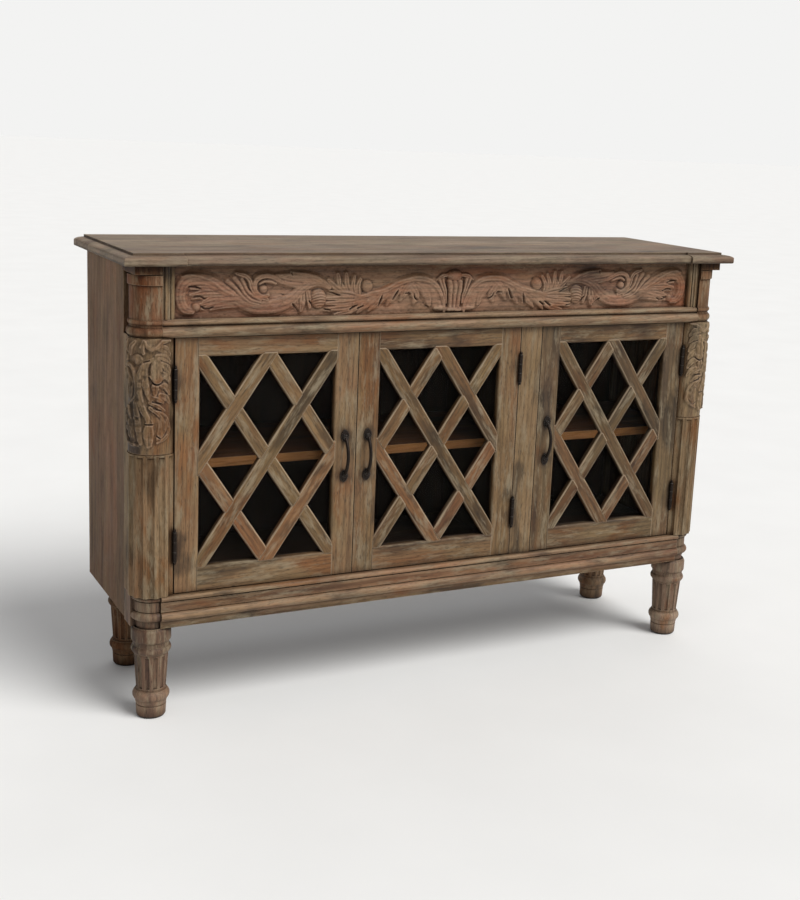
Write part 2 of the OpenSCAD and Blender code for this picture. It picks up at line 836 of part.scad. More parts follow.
top_board();
side_panel(-1);  // side_panel_left
side_panel(1);  // side_panel_right
back_panel();
floor_board();
partition();
shelf(-x_inner, x_partition - partition_t / 2);  // shelf_left
shelf(x_partition + partition_t / 2, x_inner);  // shelf_right
shelf_cleats();
divider_stile();
frieze_panel();
frieze_end_mouldings();
frieze_foot_moulding();
corner_post(-1);  // corner_post_left
corner_post(1);  // corner_post_right
base_front_moulding();
base_front_rail();
base_rear_rail();
base_drum(-1);  // base_drum_left
base_drum(1);  // base_drum_right
rear_leg_blocks();
translate([-post_x, post_y, 0]) leg();  // front_leg_left
translate([post_x, post_y, 0]) leg();  // front_leg_right
at_rear_leg(-1) leg();  // rear_leg_left
at_rear_leg(1) leg();  // rear_leg_right
case_hinges();  // case_hinge_leaves_and_pins
magnetic_catches();
at_door(0) hinge_stile();  // left_door_hinge_stile
at_door(0) lock_stile();  // left_door_lock_stile
at_door(0) top_rail();  // left_door_top_rail
at_door(0) bottom_rail();  // left_door_bottom_rail
at_door(0) lattice_front_bars();  // left_door_lattice_front_bars
at_door(0) lattice_rear_bars();  // left_door_lattice_rear_bars
at_door(0) glass();  // left_door_glass
at_door(0) glass_beads();  // left_door_glass_beads
at_door(0) handle();  // left_door_handle
at_hinge(0) door_hinge_leaves();  // left_door_hinge_leaves
at_door(0) strike_plate();  // left_door_strike_plate
at_door(1) hinge_stile();  // middle_door_hinge_stile
at_door(1) lock_stile();  // middle_door_lock_stile
at_door(1) top_rail();  // middle_door_top_rail
at_door(1) bottom_rail();  // middle_door_bottom_rail
at_door(1) lattice_front_bars();  // middle_door_lattice_front_bars
at_door(1) lattice_rear_bars();  // middle_door_lattice_rear_bars
at_door(1) glass();  // middle_door_glass
at_door(1) glass_beads();  // middle_door_glass_beads
at_door(1) handle();  // middle_door_handle
at_hinge(1) door_hinge_leaves();  // middle_door_hinge_leaves
at_door(1) strike_plate();  // middle_door_strike_plate
at_door(2) hinge_stile();  // right_door_hinge_stile
at_door(2) lock_stile();  // right_door_lock_stile
at_door(2) top_rail();  // right_door_top_rail
at_door(2) bottom_rail();  // right_door_bottom_rail
at_door(2) lattice_front_bars();  // right_door_lattice_front_bars
at_door(2) lattice_rear_bars();  // right_door_lattice_rear_bars
at_door(2) glass();  // right_door_glass
at_door(2) glass_beads();  // right_door_glass_beads
at_door(2) handle();  // right_door_handle
at_hinge(2) door_hinge_leaves();  // right_door_hinge_leaves
at_door(2) strike_plate();  // right_door_strike_plate
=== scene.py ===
# %% [markdown]
# # A carved sideboard with three latticed doors
# The sideboard is a planed mango-wood case with turned legs, fluted corner posts, a carved frieze
# and three glazed doors. Every board, hinge and pane already exists at its true size in the packed
# frame, so this lesson adds what a carver, a finisher and a photographer would add: the relief
# carving, the limed and worn surface, the forged iron, the glass and the light.

import math

import bpy
import numpy as np
from mathutils import Matrix, Vector


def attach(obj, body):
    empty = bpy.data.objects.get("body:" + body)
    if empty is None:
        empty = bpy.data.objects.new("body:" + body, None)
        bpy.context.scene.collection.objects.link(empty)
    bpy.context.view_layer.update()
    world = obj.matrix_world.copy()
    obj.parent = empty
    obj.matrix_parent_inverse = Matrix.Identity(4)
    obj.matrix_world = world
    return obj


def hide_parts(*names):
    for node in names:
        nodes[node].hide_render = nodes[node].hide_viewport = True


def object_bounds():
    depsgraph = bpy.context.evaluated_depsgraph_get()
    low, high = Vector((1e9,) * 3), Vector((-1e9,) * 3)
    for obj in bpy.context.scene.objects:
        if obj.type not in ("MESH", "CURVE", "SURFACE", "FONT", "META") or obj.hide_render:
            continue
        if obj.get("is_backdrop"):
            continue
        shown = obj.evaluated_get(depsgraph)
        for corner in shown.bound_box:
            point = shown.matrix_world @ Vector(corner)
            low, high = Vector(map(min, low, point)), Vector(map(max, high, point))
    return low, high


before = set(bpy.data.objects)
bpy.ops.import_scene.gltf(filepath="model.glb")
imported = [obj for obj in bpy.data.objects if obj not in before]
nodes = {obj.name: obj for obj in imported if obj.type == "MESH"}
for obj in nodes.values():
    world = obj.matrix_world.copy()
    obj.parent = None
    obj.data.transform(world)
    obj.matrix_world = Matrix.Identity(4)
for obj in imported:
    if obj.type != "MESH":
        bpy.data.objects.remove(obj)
cad_box = [list(corner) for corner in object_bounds()]
print("frame:", len(nodes), "nodes, box", [[round(v, 4) for v in corner] for corner in cad_box])

# %% [markdown]
# ## The camera
# The picture is taken from the left front, a little above the top. The sideboard's known size gives
# eight corners to match, and solving for them gives the eye, the turn and the focal length in
# pixels. A camera could be aimed by eye with an empty to track, but the solved axes keep its
# slight roll, which a tracked camera would lose.

# %% Camera
PHOTO_W = 800
PHOTO_H = 900
FOCAL_PX = 1346.9
CENTRE_PX = (445.6, 412.7)
SENSOR_MM = 36
eye = Vector((-1.4244, -2.8019, 1.2584))
right_axis = Vector((0.8840, -0.4651, 0.0471))
down_axis = Vector((-0.0557, -0.2047, -0.9772))
forward_axis = Vector((0.4642, 0.8612, -0.2069))
camera_data = bpy.data.cameras.new("camera")
camera_data.sensor_width = SENSOR_MM
camera_data.lens = FOCAL_PX * SENSOR_MM / PHOTO_H
camera_data.shift_x = (PHOTO_W / 2 - CENTRE_PX[0]) / PHOTO_H
camera_data.shift_y = (CENTRE_PX[1] - PHOTO_H / 2) / PHOTO_H
camera_data.clip_end = 200
camera = bpy.data.objects.new("camera", camera_data)
turn = Matrix((right_axis, -down_axis, -forward_axis)).transposed()
camera.matrix_world = Matrix.Translation(eye) @ turn.to_4x4()
bpy.context.collection.objects.link(camera)
bpy.context.scene.camera = camera
print("camera: lens", round(camera_data.lens, 2), "mm, eye", [round(v, 3) for v in eye])

# %% [markdown]
# ## Tools for materials
# A procedural material is a handful of nodes wired together. `add` makes one node, sets what is
# given and wires what is a node or a socket, whatever its kind, so each recipe reads as a list.
# Colours are written as the sRGB hex values that a colour picker shows, and `tone` turns them to
# the linear light that the renderer works in.

# %% Colours and nodes
def tone(hex_value):
    """An sRGB hex colour as linear RGBA."""
    parts = [int(hex_value[i:i + 2], 16) / 255 for i in (1, 3, 5)]
    linear = [c / 12.92 if c <= 0.04045 else ((c + 0.055) / 1.055) ** 2.4 for c in parts]
    return (*linear, 1.0)


def add(tree, kind, settings=None, **inputs):
    """Adds a node with its settings and links.
    Inputs go by name, or by place as _0, _1. A node as an input means its first output.
    The setting "stops" holds a colour ramp's places and shades, where a number is that grey."""
    node = tree.nodes.new("ShaderNode" + kind)
    for name, value in (settings or {}).items():
        if name != "stops":
            setattr(node, name, value)
            continue
        while len(node.color_ramp.elements) < len(value):
            node.color_ramp.elements.new(0.5)
        for element, (place, shade) in zip(node.color_ramp.elements, value):
            element.position = place
            element.color = tone(shade) if isinstance(shade, str) else (shade, shade, shade, 1)
    for name, value in inputs.items():
        key = int(name[1:]) if name[1:].isdigit() else name.replace("_", " ")
        if isinstance(value, bpy.types.Node):
            value = value.outputs[0]
        if isinstance(value, bpy.types.NodeSocket):
            tree.links.new(value, node.inputs[key])
        else:
            node.inputs[key].default_value = value
    return node


print("mid brown in linear light:", [round(v, 3) for v in tone("#7b6048")])

# %% [markdown]
# A finisher works in coats. A glaze is a thin stain that multiplies what is under it, so it is
# dark where its pattern is dark. A rub covers it instead, as lime or a worn edge does, where its
# pattern is bright. Long chains of nodes could be wired one by one, but a list of coats keeps the
# order of the work in sight.

# %% Coats
MULTIPLY = {"blend_type": "MULTIPLY"}


def new_material(name):
    """An empty node material and its tree."""
    material = bpy.data.materials.new(name)
    material.use_nodes = True
    material.node_tree.nodes.clear()
    return material, material.node_tree


def coat(tree, colour, coats):
    """Lays coats on a colour: ("glaze", strength, pattern, stops) or ("rub", cover, pattern, stops)."""
    for kind, amount, pattern, stops in coats:
        ramp = add(tree, "ValToRGB", {"stops": stops}, Fac=pattern)
        if kind == "glaze":
            colour = add(tree, "MixRGB", MULTIPLY, Fac=amount, Color1=colour, Color2=ramp)
        else:
            colour = add(tree, "MixRGB", Fac=ramp, Color1=colour, Color2=amount)
    return colour


print("tools for materials:", ", ".join(tool.__name__ for tool in (tone, add, new_material, coat)))

# %% [markdown]
# ## Limed mango wood
# The wood is mango, planed, bleached and rubbed with lime, then left matt: IOR 1.5, roughness 0.55
# to 0.8. The eye sees growth rings that wander 9 to 13 mm apart, broad clouds of darker wood, dirt
# in the pores, grey lime in the soft hollows, arrises that hands have rubbed pale and dust in the
# corners, which is darkened further as painted shade. Real pores are about 0.3 mm wide and 4 mm
# long. They are drawn four times as coarse, or the picture's 2 mm pixels would lose them.
# An image of wood could be wrapped on, but a solid pattern in the board's own space cuts like
# timber: rings on the face, dots on the end, and it runs round the turned legs with no seam.

# %% A board's place in the trunk
GRAIN_TURN = {"across": (0, 0, 0), "up": (0, math.pi / 2, 0), "deep": (0, 0, -math.pi / 2)}
TILT = 0.035


def board_space(tree, place, grain, rng):
    """A board's own space: its grain along X, a slight tilt, and a cut 60 to 150 mm off the heart."""
    turn = GRAIN_TURN[grain] if isinstance(grain, str) else (0, grain, 0)
    tilt = rng.uniform(-TILT, TILT, 3)
    shift = (rng.uniform(-5, 5), rng.choice([-1, 1]) * rng.uniform(0.05, 0.12), rng.uniform(0.03, 0.09))
    return add(tree, "Mapping", Vector=place, Rotation=[a + b for a, b in zip(turn, tilt)], Location=shift)


print("a board is tilted by up to", round(math.degrees(TILT), 1), "degrees, as no saw follows the grain")

# %% [markdown]
# A wide board is glued up from planks, and each one comes from another part of the trunk, has a
# shade of its own and meets the next at a dark seam. Every plank could be a mesh, but the frame's
# board is one piece, so its space is cut instead: counting planks across it gives each a number,
# and the number gives a chance that moves the pattern and picks the shade.

# %% Planks
def plank_space(tree, place, board, direction, width, start):
    """The space cut into planks, a chance for each plank, and how far off a seam is in widths."""
    across = add(tree, "VectorMath", {"operation": "DOT_PRODUCT"}, _0=place, _1=direction)
    across = across.outputs["Value"]
    count = add(tree, "Math", {"operation": "MULTIPLY_ADD"}, _0=across, _1=1 / width, _2=start)
    index = add(tree, "Math", {"operation": "FLOOR"}, _0=count)
    chance = add(tree, "TexWhiteNoise", {"noise_dimensions": "1D"}, W=index)
    board = add(tree, "VectorMath", {"operation": "ADD"}, _0=board, _1=chance.outputs["Color"])
    to_seam = add(tree, "Math", {"operation": "PINGPONG"}, _0=count, _1=0.5)
    return board, chance, to_seam


PLANK_SHADES = ((0.0, "#d8d2cc"), (0.5, "#f4ece2"), (1.0, "#ffffff"))
BAR_SHADES = ((0.0, "#c4c6c0"), (0.3, "#fff6de"), (0.6, "#ffe4d0"), (0.8, "#e4d8c0"), (1.0, "#fffaf4"))
SEAM_SHADES = ((0.003, 0.45), (0.012, 1.0))
print("a seam in a 108 mm plank is dark for", round(2 * 108 * SEAM_SHADES[0][0], 2), "mm")

# %% Patterns in the wood
# repeats in a metre along the grain and across it, then detail, roughness and warp
WOOD_PATTERNS = {
    "fibre": (14, 250, 5.0, 0.7, 0.0),  # streaks of 70 x 4 mm
    "figure": (3, 22, 4.0, 0.5, 0.5),  # clouds of 330 x 45 mm
    "stain": (5, 13, 3.0, 0.55, 0.6),  # water and tannin, 200 x 77 mm
    "tint": (4, 8, 2.0, 0.5, 1.0),  # greener and redder heartwood, 250 x 125 mm
    "pores": (70, 700, 2.0, 0.5, 0.0),  # 14 x 1.4 mm
    "lime": (12, 60, 5.0, 0.72, 0.0),  # patches of 83 x 17 mm
}
RING_SCALE = (24, 36)


def wood_patterns(tree, board, rng):
    """The patterns of a board's wood, and the growth rings round the trunk's axis."""
    made = {}
    for part, (along, across, detail, rough, warp) in WOOD_PATTERNS.items():
        space = add(tree, "VectorMath", {"operation": "MULTIPLY"}, _0=board, _1=(along, across, across))
        made[part] = add(tree, "TexNoise", Vector=space, Scale=1.0, Detail=detail, Roughness=rough,
                         Distortion=warp)
    space = add(tree, "VectorMath", {"operation": "MULTIPLY"}, _0=board, _1=(0.1, 1, 1))
    made["rings"] = add(tree, "TexWave", {"wave_type": "RINGS", "rings_direction": "X"}, Vector=space,
                        Scale=rng.uniform(*RING_SCALE), Distortion=8.0, Detail=3.0, Detail_Scale=0.6,
                        Detail_Roughness=0.6)
    return made


# the wave repeats each 314 mm / scale
print("growth rings:", [round(314 / scale, 1) for scale in RING_SCALE], "mm apart")

# %% [markdown]
# Use leaves its marks. Dust settles in corners, hands rub the arrises pale, and carving shows dark
# creases beside worn crests. The dust in the corners and the creases is darkened further as painted
# shade. Wear could be painted on each board, but it follows the shape: a bevel node finds the
# arrises, ambient occlusion the corners, and the mesh's pointiness the creases.

# %% Wear, dirt and painted shade
WORN_ARRIS = tone("#a58f74")
WORN_CREST = tone("#a58c74")


def worn(tree, colour, place, patch, soft, hollow, relief, smudges):
    """Lays dirty spots, rubbed arrises, and dust with painted shade in corners on a colour, and on carving
    dark creases of dirt and painted shade beside worn crests.
    """
    coats = []
    for spot, reach in smudges:
        gap = add(tree, "VectorMath", {"operation": "DISTANCE"}, _0=place, _1=spot).outputs["Value"]
        ragged = add(tree, "Math", {"operation": "MULTIPLY_ADD"}, _0=patch, _1=reach, _2=gap)
        coats.append(("glaze", 0.85, ragged, ((0.6 * reach, "#857b71"), (1.5 * reach, "#ffffff"))))
    sharp = add(tree, "NewGeometry")
    flat = add(tree, "VectorMath", {"operation": "DOT_PRODUCT"}, _0=soft, _1=sharp.outputs["Normal"])
    coats.append(("rub", WORN_ARRIS, flat.outputs["Value"], ((0.8, 0.4 if relief else 0.8), (0.99, 0.0))))
    # dust in the corners, darkened further as painted shade: ambient occlusion finds where shade falls
    shade = add(tree, "AmbientOcclusion", {"samples": 4}, Distance=0.012 + 0.018 * hollow)
    deep = 0.3 + 0.35 * hollow
    dust = ((deep - 0.2, "#2e2016"), (deep + 0.1, "#9a846f"), (0.97, "#ffffff"))
    coats.append(("glaze", 0.9, shade.outputs["AO"], dust))
    if relief:
        # on carving: the dark crease glaze is dirt and painted shade in the creases; the pale crest rub is
        # wear
        coats.append(("glaze", 0.95, sharp.outputs["Pointiness"], ((0.42, "#38241a"), (0.495, "#ffffff"))))
        coats.append(("rub", WORN_CREST, sharp.outputs["Pointiness"], ((0.505, 0.0), (0.55, 0.45))))
    return coat(tree, colour, coats)


print("worn arris in linear light:", [round(v, 3) for v in WORN_ARRIS])

# %% [markdown]
# The recipe lays the coats in the finisher's order: bleach and stain over the raw wood, bands at
# some heights that are mostly painted shade, a shade for each plank, rings and fibre, lime in the
# hollows, dirt in the pores, then what was cut or rubbed bare later, with painted light on the
# shelves' front edges, and wear, dust and painted shade on top of all.

# %% Limed wood
TINT_SHADES = ((0.37, "#e3e8cc"), (0.46, "#fffffa"), (0.53, "#fffdfa"), (0.63, "#ffd3c0"))
STAIN_SHADES = ((0.34, "#aeaca5"), (0.45, "#fffef8"), (0.55, "#fffefa"), (0.67, "#f3d1b0"))
RING_SHADES = ((0.05, 0.4), (0.35, 0.85), (0.9, 1.0))
LIME = tone("#8d8069")
WORN_SHOULDER = "#a8957c"


def limed_wood(name, grain, tones, seed, lime=0.5, hollow=0.8, relief=False, edge=None, planks=None,
               rolled=False, bands=None, smudges=(), bloom=0.3, sheen=0.35, outside=None):
    """A board of limed mango, with its own cut from the trunk.
    grain: across, up, deep, or an angle in radians from X towards Z. tones: dark, raw and pale wood.
    lime: how grey its hollows are. hollow: how far dust and painted shade spread from
    a corner. relief: carved. edge: the colour of its front edge, bare wood painted lighter as lit.
    planks: the direction across them, their width and where the first begins. rolled: a bar with
    rounded shoulders. bands: glazes at heights in metres, mostly painted shade, also redder and paler wood.
    smudges: dirty spots, each with its reach. bloom: how much red and green it shows. sheen: lower
    on what is seen at a low angle, or it mirrors the pale studio. outside: how much paler its rear
    face is than its front."""
    rng = np.random.default_rng(seed)
    material, tree = new_material(name)
    place = add(tree, "TexCoord").outputs["Object"]
    board = board_space(tree, place, grain, rng)
    if planks:
        board, chance, to_seam = plank_space(tree, place, board, *planks)
    pattern = wood_patterns(tree, board, rng)

    dark, raw, pale = tones
    stops = ((0.32, dark), (0.46, raw), (0.6, raw), (0.74, pale))
    colour = add(tree, "ValToRGB", {"stops": stops}, Fac=pattern["figure"])
    coats = [("glaze", bloom, pattern["tint"], TINT_SHADES)]
    coats.append(("glaze", 0.5 if planks and not rolled else 1.0, pattern["stain"], STAIN_SHADES))
    # bands glaze by height: mostly painted shade, also redder heads and bleached feet
    if bands:
        coats.append(("glaze", 1.0, add(tree, "SeparateXYZ", Vector=place).outputs["Z"], bands))
    if planks:
        coats.append(("glaze", 1.0, chance, BAR_SHADES if rolled else PLANK_SHADES))
        coats.append(("glaze", 1.0, to_seam, SEAM_SHADES))
    coats.append(("glaze", 0.4, pattern["rings"], RING_SHADES))
    coats.append(("glaze", 0.55, pattern["fibre"], ((0.34, 0.35), (0.54, 1.0))))
    coats.append(("rub", LIME, pattern["lime"], ((0.5, 0.0), (0.66, lime))))
    coats.append(("glaze", 0.6, pattern["pores"], ((0.33, 0.2), (0.42, 1.0))))

    if edge or rolled or outside:
        facing = add(tree, "SeparateXYZ", Vector=add(tree, "TexCoord").outputs["Normal"]).outputs["Y"]
    # a shelf's front edge is bare wood painted lighter as lit; a bar's shoulders are worn pale
    if edge or rolled:
        towards = add(tree, "Math", {"operation": "MULTIPLY"}, _0=facing, _1=-1.0)
        fresh = [("glaze", 0.7, pattern["fibre"], ((0.34, 0.4), (0.52, 1.0)))]
        fresh = coat(tree, tone(edge or WORN_SHOULDER), fresh)
        bare = ((0.3, 0.0), (0.6, 0.7), (0.86, 0.6), (0.97, 0.0)) if rolled else ((0.3, 0.0), (0.8, 0.85))
        coats.append(("rub", fresh, towards, bare))
    colour = coat(tree, colour, coats)
    if outside:
        behind = add(tree, "ValToRGB", {"stops": ((0.3, 0.0), (0.8, 1.0))}, Fac=facing)
        colour = add(tree, "MixRGB", MULTIPLY, Fac=behind, Color1=colour, Color2=(*outside, 1.0))

    soft = add(tree, "Bevel", {"samples": 4}, Radius=0.002)
    colour = worn(tree, colour, place, pattern["lime"], soft, hollow, relief, smudges)
    rough = add(tree, "ValToRGB", {"stops": ((0.35, 0.55), (0.7, 0.8))}, Fac=pattern["lime"])
    height = add(tree, "Math", {"operation": "MULTIPLY_ADD"}, _0=pattern["fibre"], _1=0.5,
                 _2=pattern["pores"])
    bump = add(tree, "Bump", Height=height, Strength=0.4, Distance=0.0007, Normal=soft)
    shader = add(tree, "BsdfPrincipled", Base_Color=colour, Roughness=rough, Normal=bump,
                 Specular_IOR_Level=sheen)
    add(tree, "OutputMaterial", Surface=shader)
    return material


print("the recipe has", limed_wood.__code__.co_argcount, "settings")

# %% [markdown]
# ### Which board is which
# Boards come from different trunks. The top and the sides have greyed most, the doors are warm, the
# frieze and the base are reddest. The inside and the base's front rail are painted dark as shade,
# and so are the rear rails and the left rear leg, while the right rear leg is painted lighter as lit.
# Stiles, sides, posts and legs have their grain upright, rails and mouldings along their length, and
# each lattice bar along itself. One material could serve them all, but every board gets its own
# recipe and its own cut from the trunk, so no two match. Each row gives the grain, the tones, the
# lime, how far dust and painted shade spread, and the slot that the node is repainted through.

# %% Boards
# a lattice bar rises 447 mm over a width of 301 mm
BAR_LEAN = math.atan2(447, 301)
TOP_TONES = ("#7f6c5c", "#938271", "#a29485")
SIDE_TONES = ("#715743", "#8b6f58", "#9b8068")
POST_TONES = ("#69553f", "#877157", "#98886c")
DOOR_TONES = ("#634b34", "#7e6548", "#8f795b")
MIDDLE_TONES = ("#5b432d", "#755b3e", "#876e4e")
RIGHT_TONES = ("#4e3d2c", "#6a553c", "#816a4b")
APRON_TONES = ("#6b533f", "#886d54", "#9e836b")
BASE_TONES = ("#705742", "#8e7258", "#a58970")
DRUM_TONES = ("#5b4639", "#735c4a", "#876f5f")
LEG_TONES = ("#6a5345", "#866c59", "#9c8271")
RIGHT_LEG_TONES = ("#776155", "#967f6c", "#af9a89")
# painted shade and light: rear rails and left rear leg dark as shade, right rear leg lighter as lit
REAR_TONES = ("#553d2a", "#6a4f38", "#7b5f46")
REAR_RIGHT_TONES = ("#6b513f", "#856a51", "#9c8067")
# painted shade: the inside and the hidden base rail are painted dark for the shade in the closed case
INNER_TONES = ("#271a12", "#3a281d", "#493629")
SHELF_TONES = ("#553621", "#6a452b", "#7d5538")
DOORS = (("left_door", 1, DOOR_TONES), ("middle_door", -1, MIDDLE_TONES), ("right_door", -1, RIGHT_TONES))
DOOR_NAMES = [door for door, lean, tones in DOORS]

wood_cuts = {
    "top_board": ("across", TOP_TONES, 0.5, 0.3, "top_wood"),
    "side_panel_left": ("up", SIDE_TONES, 0.3, 0.3, "case_wood"),
    "side_panel_right": ("up", SIDE_TONES, 0.3, 0.3, "case_wood"),
    "back_panel": ("up", INNER_TONES, 0.1, 0.3, "inner_wood"),
    "floor_board": ("across", INNER_TONES, 0.1, 0.3, "inner_wood"),
    "partition": ("up", INNER_TONES, 0.1, 0.3, "inner_wood"),
    "shelf_left": ("across", SHELF_TONES, 0.1, 0.3, "inner_wood"),
    "shelf_right": ("across", SHELF_TONES, 0.1, 0.3, "inner_wood"),
    "shelf_cleats": ("deep", INNER_TONES, 0.1, 0.3, "inner_wood"),
    "divider_stile": ("up", DOOR_TONES, 0.5, 0.3, "case_wood"),
    "frieze_end_mouldings": ("up", DOOR_TONES, 0.6, 0.1, "frieze_wood"),
    "frieze_foot_moulding": ("across", APRON_TONES, 0.7, 0.3, "frieze_wood"),
    "corner_post_left": ("up", POST_TONES, 0.7, 1.0, "carved_wood"),
    "corner_post_right": ("up", POST_TONES, 0.7, 1.0, "carved_wood"),
    "base_front_moulding": ("across", BASE_TONES, 0.6, 0.2, "case_wood"),
    "base_front_rail": ("across", INNER_TONES, 0.2, 0.3, "case_wood"),
    "base_rear_rail": ("across", REAR_TONES, 0.2, 0.3, "case_wood"),
    "base_drum_left": ("up", DRUM_TONES, 0.6, 0.4, "case_wood"),
    "base_drum_right": ("up", DRUM_TONES, 0.6, 0.4, "case_wood"),
    "rear_leg_blocks": ("across", REAR_TONES, 0.2, 0.3, "case_wood"),
    "front_leg_left": ("up", LEG_TONES, 0.7, 0.7, "carved_wood"),
    "front_leg_right": ("up", RIGHT_LEG_TONES, 0.7, 0.7, "carved_wood"),
    "rear_leg_left": ("up", REAR_TONES, 0.3, 0.8, "carved_wood"),
    "rear_leg_right": ("up", REAR_RIGHT_TONES, 0.3, 0.6, "carved_wood"),
}
DOOR_BOARDS = (("_hinge_stile", "up"), ("_lock_stile", "up"), ("_top_rail", "across"),
               ("_bottom_rail", "across"))
for door, lean, tones in DOORS:
    for board, grain in DOOR_BOARDS:
        wood_cuts[door + board] = (grain, tones, 0.6, 0.3, "case_wood")
    wood_cuts[door + "_lattice_front_bars"] = (lean * BAR_LEAN, tones, 0.7, 0.4, "case_wood")
    wood_cuts[door + "_lattice_rear_bars"] = (-lean * BAR_LEAN, tones, 0.7, 0.4, "case_wood")
    wood_cuts[door + "_glass_beads"] = ("across", INNER_TONES, 0.1, 0.3, "inner_wood")
# the right door's top rail is cut from the middle door's wood
wood_cuts["right_door_top_rail"] = ("across", MIDDLE_TONES, 0.6, 0.3, "case_wood")
print("boards:", len(wood_cuts))

# %% [markdown]
# Some boards have a history of their own. The wide ones are glued up from planks 108 to 125 mm
# wide. The shelves' front edges were planed last and are bare, and they are painted lighter as lit,
# where the rest of the inside is painted dark as shade. Painted shade darkens the lower edge of the
# top's lip, the wood just under the lip, the cove under the base's bead and the sides low down, and
# the base's lowest fillet is darker. The posts' heads are turned from redder wood and the feet are
# bleached by mopping. The back was never finished, and its outer face is lighter than its inside,
# which is painted dark as shade. A mask could be painted for each, but heights in metres say the
# same in one line.

# %% What sets some boards apart
LEG_BANDS = ((0.062, "#ffffff"), (0.074, "#d8cfca"))
# painted shade: the sides darker low down
SIDE_BANDS = ((0.3, "#e6e6e6"), (0.62, "#ffffff"))
# painted shade in the cove under the bead, and the lowest fillet darker
BASE_BANDS = ((0.208, "#b4b09a"), (0.216, "#ffffff"), (0.236, "#ffffff"), (0.244, "#ecdbd0"),
              (0.253, "#c0a890"), (0.259, "#ffffff"))
# redder wood on the heads, and painted shadow of the top's lip at their tops
POST_BANDS = ((0.822, "#ffffff"), (0.834, "#e0c3bd"), (0.944, "#e0c3bd"), (0.958, "#ab9182"))
RIGHT_POST_BANDS = ((0.822, "#ffffff"), (0.834, "#e6cfc9"), (0.944, "#e6cfc9"), (0.958, "#b09c90"))
# painted shadow of the top's lip on the frieze's upper edge
FRIEZE_BANDS = ((0.940, "#ffffff"), (0.956, "#bab09c"))
# painted shade on the lower edge of the top's lip
LIP_BANDS = ((0.9686, "#958975"), (0.9726, "#ffffff"))
# bare wood on the shelves' front edges, painted lighter as lit
BARE_EDGE = "#dc9a5c"
extras = {
    "top_board": {"planks": ((0, 1, 0), 0.108, 0.2), "bands": LIP_BANDS},
    "side_panel_left": {"planks": ((0, 1, 0), 0.118, 0.4), "sheen": 0.1, "bands": SIDE_BANDS},
    "side_panel_right": {"planks": ((0, 1, 0), 0.118, 0.6), "sheen": 0.1, "bands": SIDE_BANDS},
    "rear_leg_left": {"sheen": 0.1},
    "front_leg_left": {"bands": (*LEG_BANDS, (0.14, "#d8cfca"), (0.16, "#bfb5ae")), "bloom": 0.15},
    "front_leg_right": {"bands": LEG_BANDS, "bloom": 0.05},
    "base_front_moulding": {"bands": BASE_BANDS},
    # outside: the back's outer face is lighter than its inside face, which is painted dark as shade
    "back_panel": {"planks": ((1, 0, 0), 0.125, 0.3), "outside": (4.2, 4.4, 4.8)},
    "floor_board": {"planks": ((0, 1, 0), 0.125, 0.1)},
    "shelf_left": {"edge": BARE_EDGE},
    "shelf_right": {"edge": BARE_EDGE},
    "corner_post_left": {"sheen": 0.12, "bands": POST_BANDS},
    "corner_post_right": {"sheen": 0.12, "bloom": 0.1, "bands": RIGHT_POST_BANDS},
    "frieze_end_mouldings": {"bands": FRIEZE_BANDS},
}
print("boards with a history:", len(extras))

# %% A stick for each lattice bar
# the bars lie 125 mm apart and are 32 mm wide
BAR_PITCH = 0.125
BAR_WIDTH = 0.032
for door, lean, tones in DOORS:
    for row, angle in (("_lattice_front_bars", lean * BAR_LEAN), ("_lattice_rear_bars", -lean * BAR_LEAN)):
        direction = Vector((-math.sin(angle), 0, math.cos(angle)))
        first = min(direction.dot(vertex.co) for vertex in nodes[door + row].data.vertices) + BAR_WIDTH / 2
        start = 0.5 - first / BAR_PITCH
        extras[door + row] = {"rolled": True, "bloom": 0.15, "planks": (tuple(direction), BAR_PITCH, start)}
print("boards and bars set apart:", len(extras))

# %% [markdown]
# Hands darken a stile round its pull, and damp iron stains the wood round a hinge. The spots could
# be painted on, but each pull and hinge already knows where it is, so the dirt is laid as a ball
# of 25 or 30 mm round a point at each end of it.

# %% Stains from hands and iron
PULL_STAIN = 0.025
HINGE_STAIN = 0.03


def box_of(name):
    """The lowest and highest corner of a node, in metres."""
    corners = np.array([tuple(corner) for corner in nodes[name].bound_box])
    return corners.min(0), corners.max(0)


for door in DOOR_NAMES:
    low, high = box_of(door + "_handle")
    middle = (low + high) / 2
    pads = ((middle[0], high[1], high[2] - 0.012), (middle[0], high[1], low[2] + 0.012))
    extras[door + "_lock_stile"] = {"smudges": [(pad, PULL_STAIN) for pad in pads]}
    low, high = box_of(door + "_hinge_leaves")
    middle = (low + high) / 2
    leaves = ((middle[0], low[1], high[2] - 0.03), (middle[0], low[1], low[2] + 0.02))
    extras[door + "_hinge_stile"] = {"smudges": [(leaf, HINGE_STAIN) for leaf in leaves]}
    print(door, "leaves from", round(float(low[2]), 3), "to", round(float(high[2]), 3), "m")
# one wider patch on the right door's top rail comes from neither a pull nor a hinge
extras["right_door_top_rail"] = {"smudges": [((0.52, -0.183, 0.802), 0.05)]}


# %% Every board gets its wood
def finish(name, material, slot):
    """Gives a frame node its material; the slot is not used."""
    node = nodes[name]
    node.data.materials.clear()
    node.data.materials.append(material)


for number, (name, (grain, tones, lime, hollow, slot)) in enumerate(wood_cuts.items()):
    label = "limed mango, planed, " + name.replace("_", " ")
    more = extras.get(name, {})
    finish(name, limed_wood(label, grain, tones, seed=number + 1, lime=lime, hollow=hollow, **more), slot)
print("wood:", len(wood_cuts), "nodes, each with its own board")

# %% [markdown]
# ## Forged iron, glass and the small fittings
# The pulls and the hinges are wrought iron: hammered while hot, so the surface is scaly and nearly
# black, and rubbed bright grey where fingers and doors touch it. Hammer marks are 6 mm across and
# the scale 2 mm. It is mostly metal under a thin black skin, so metallic is 0.85 and the roughness
# 0.4 to 0.6. The marks could be modelled, but at this size bump gives the same glints.

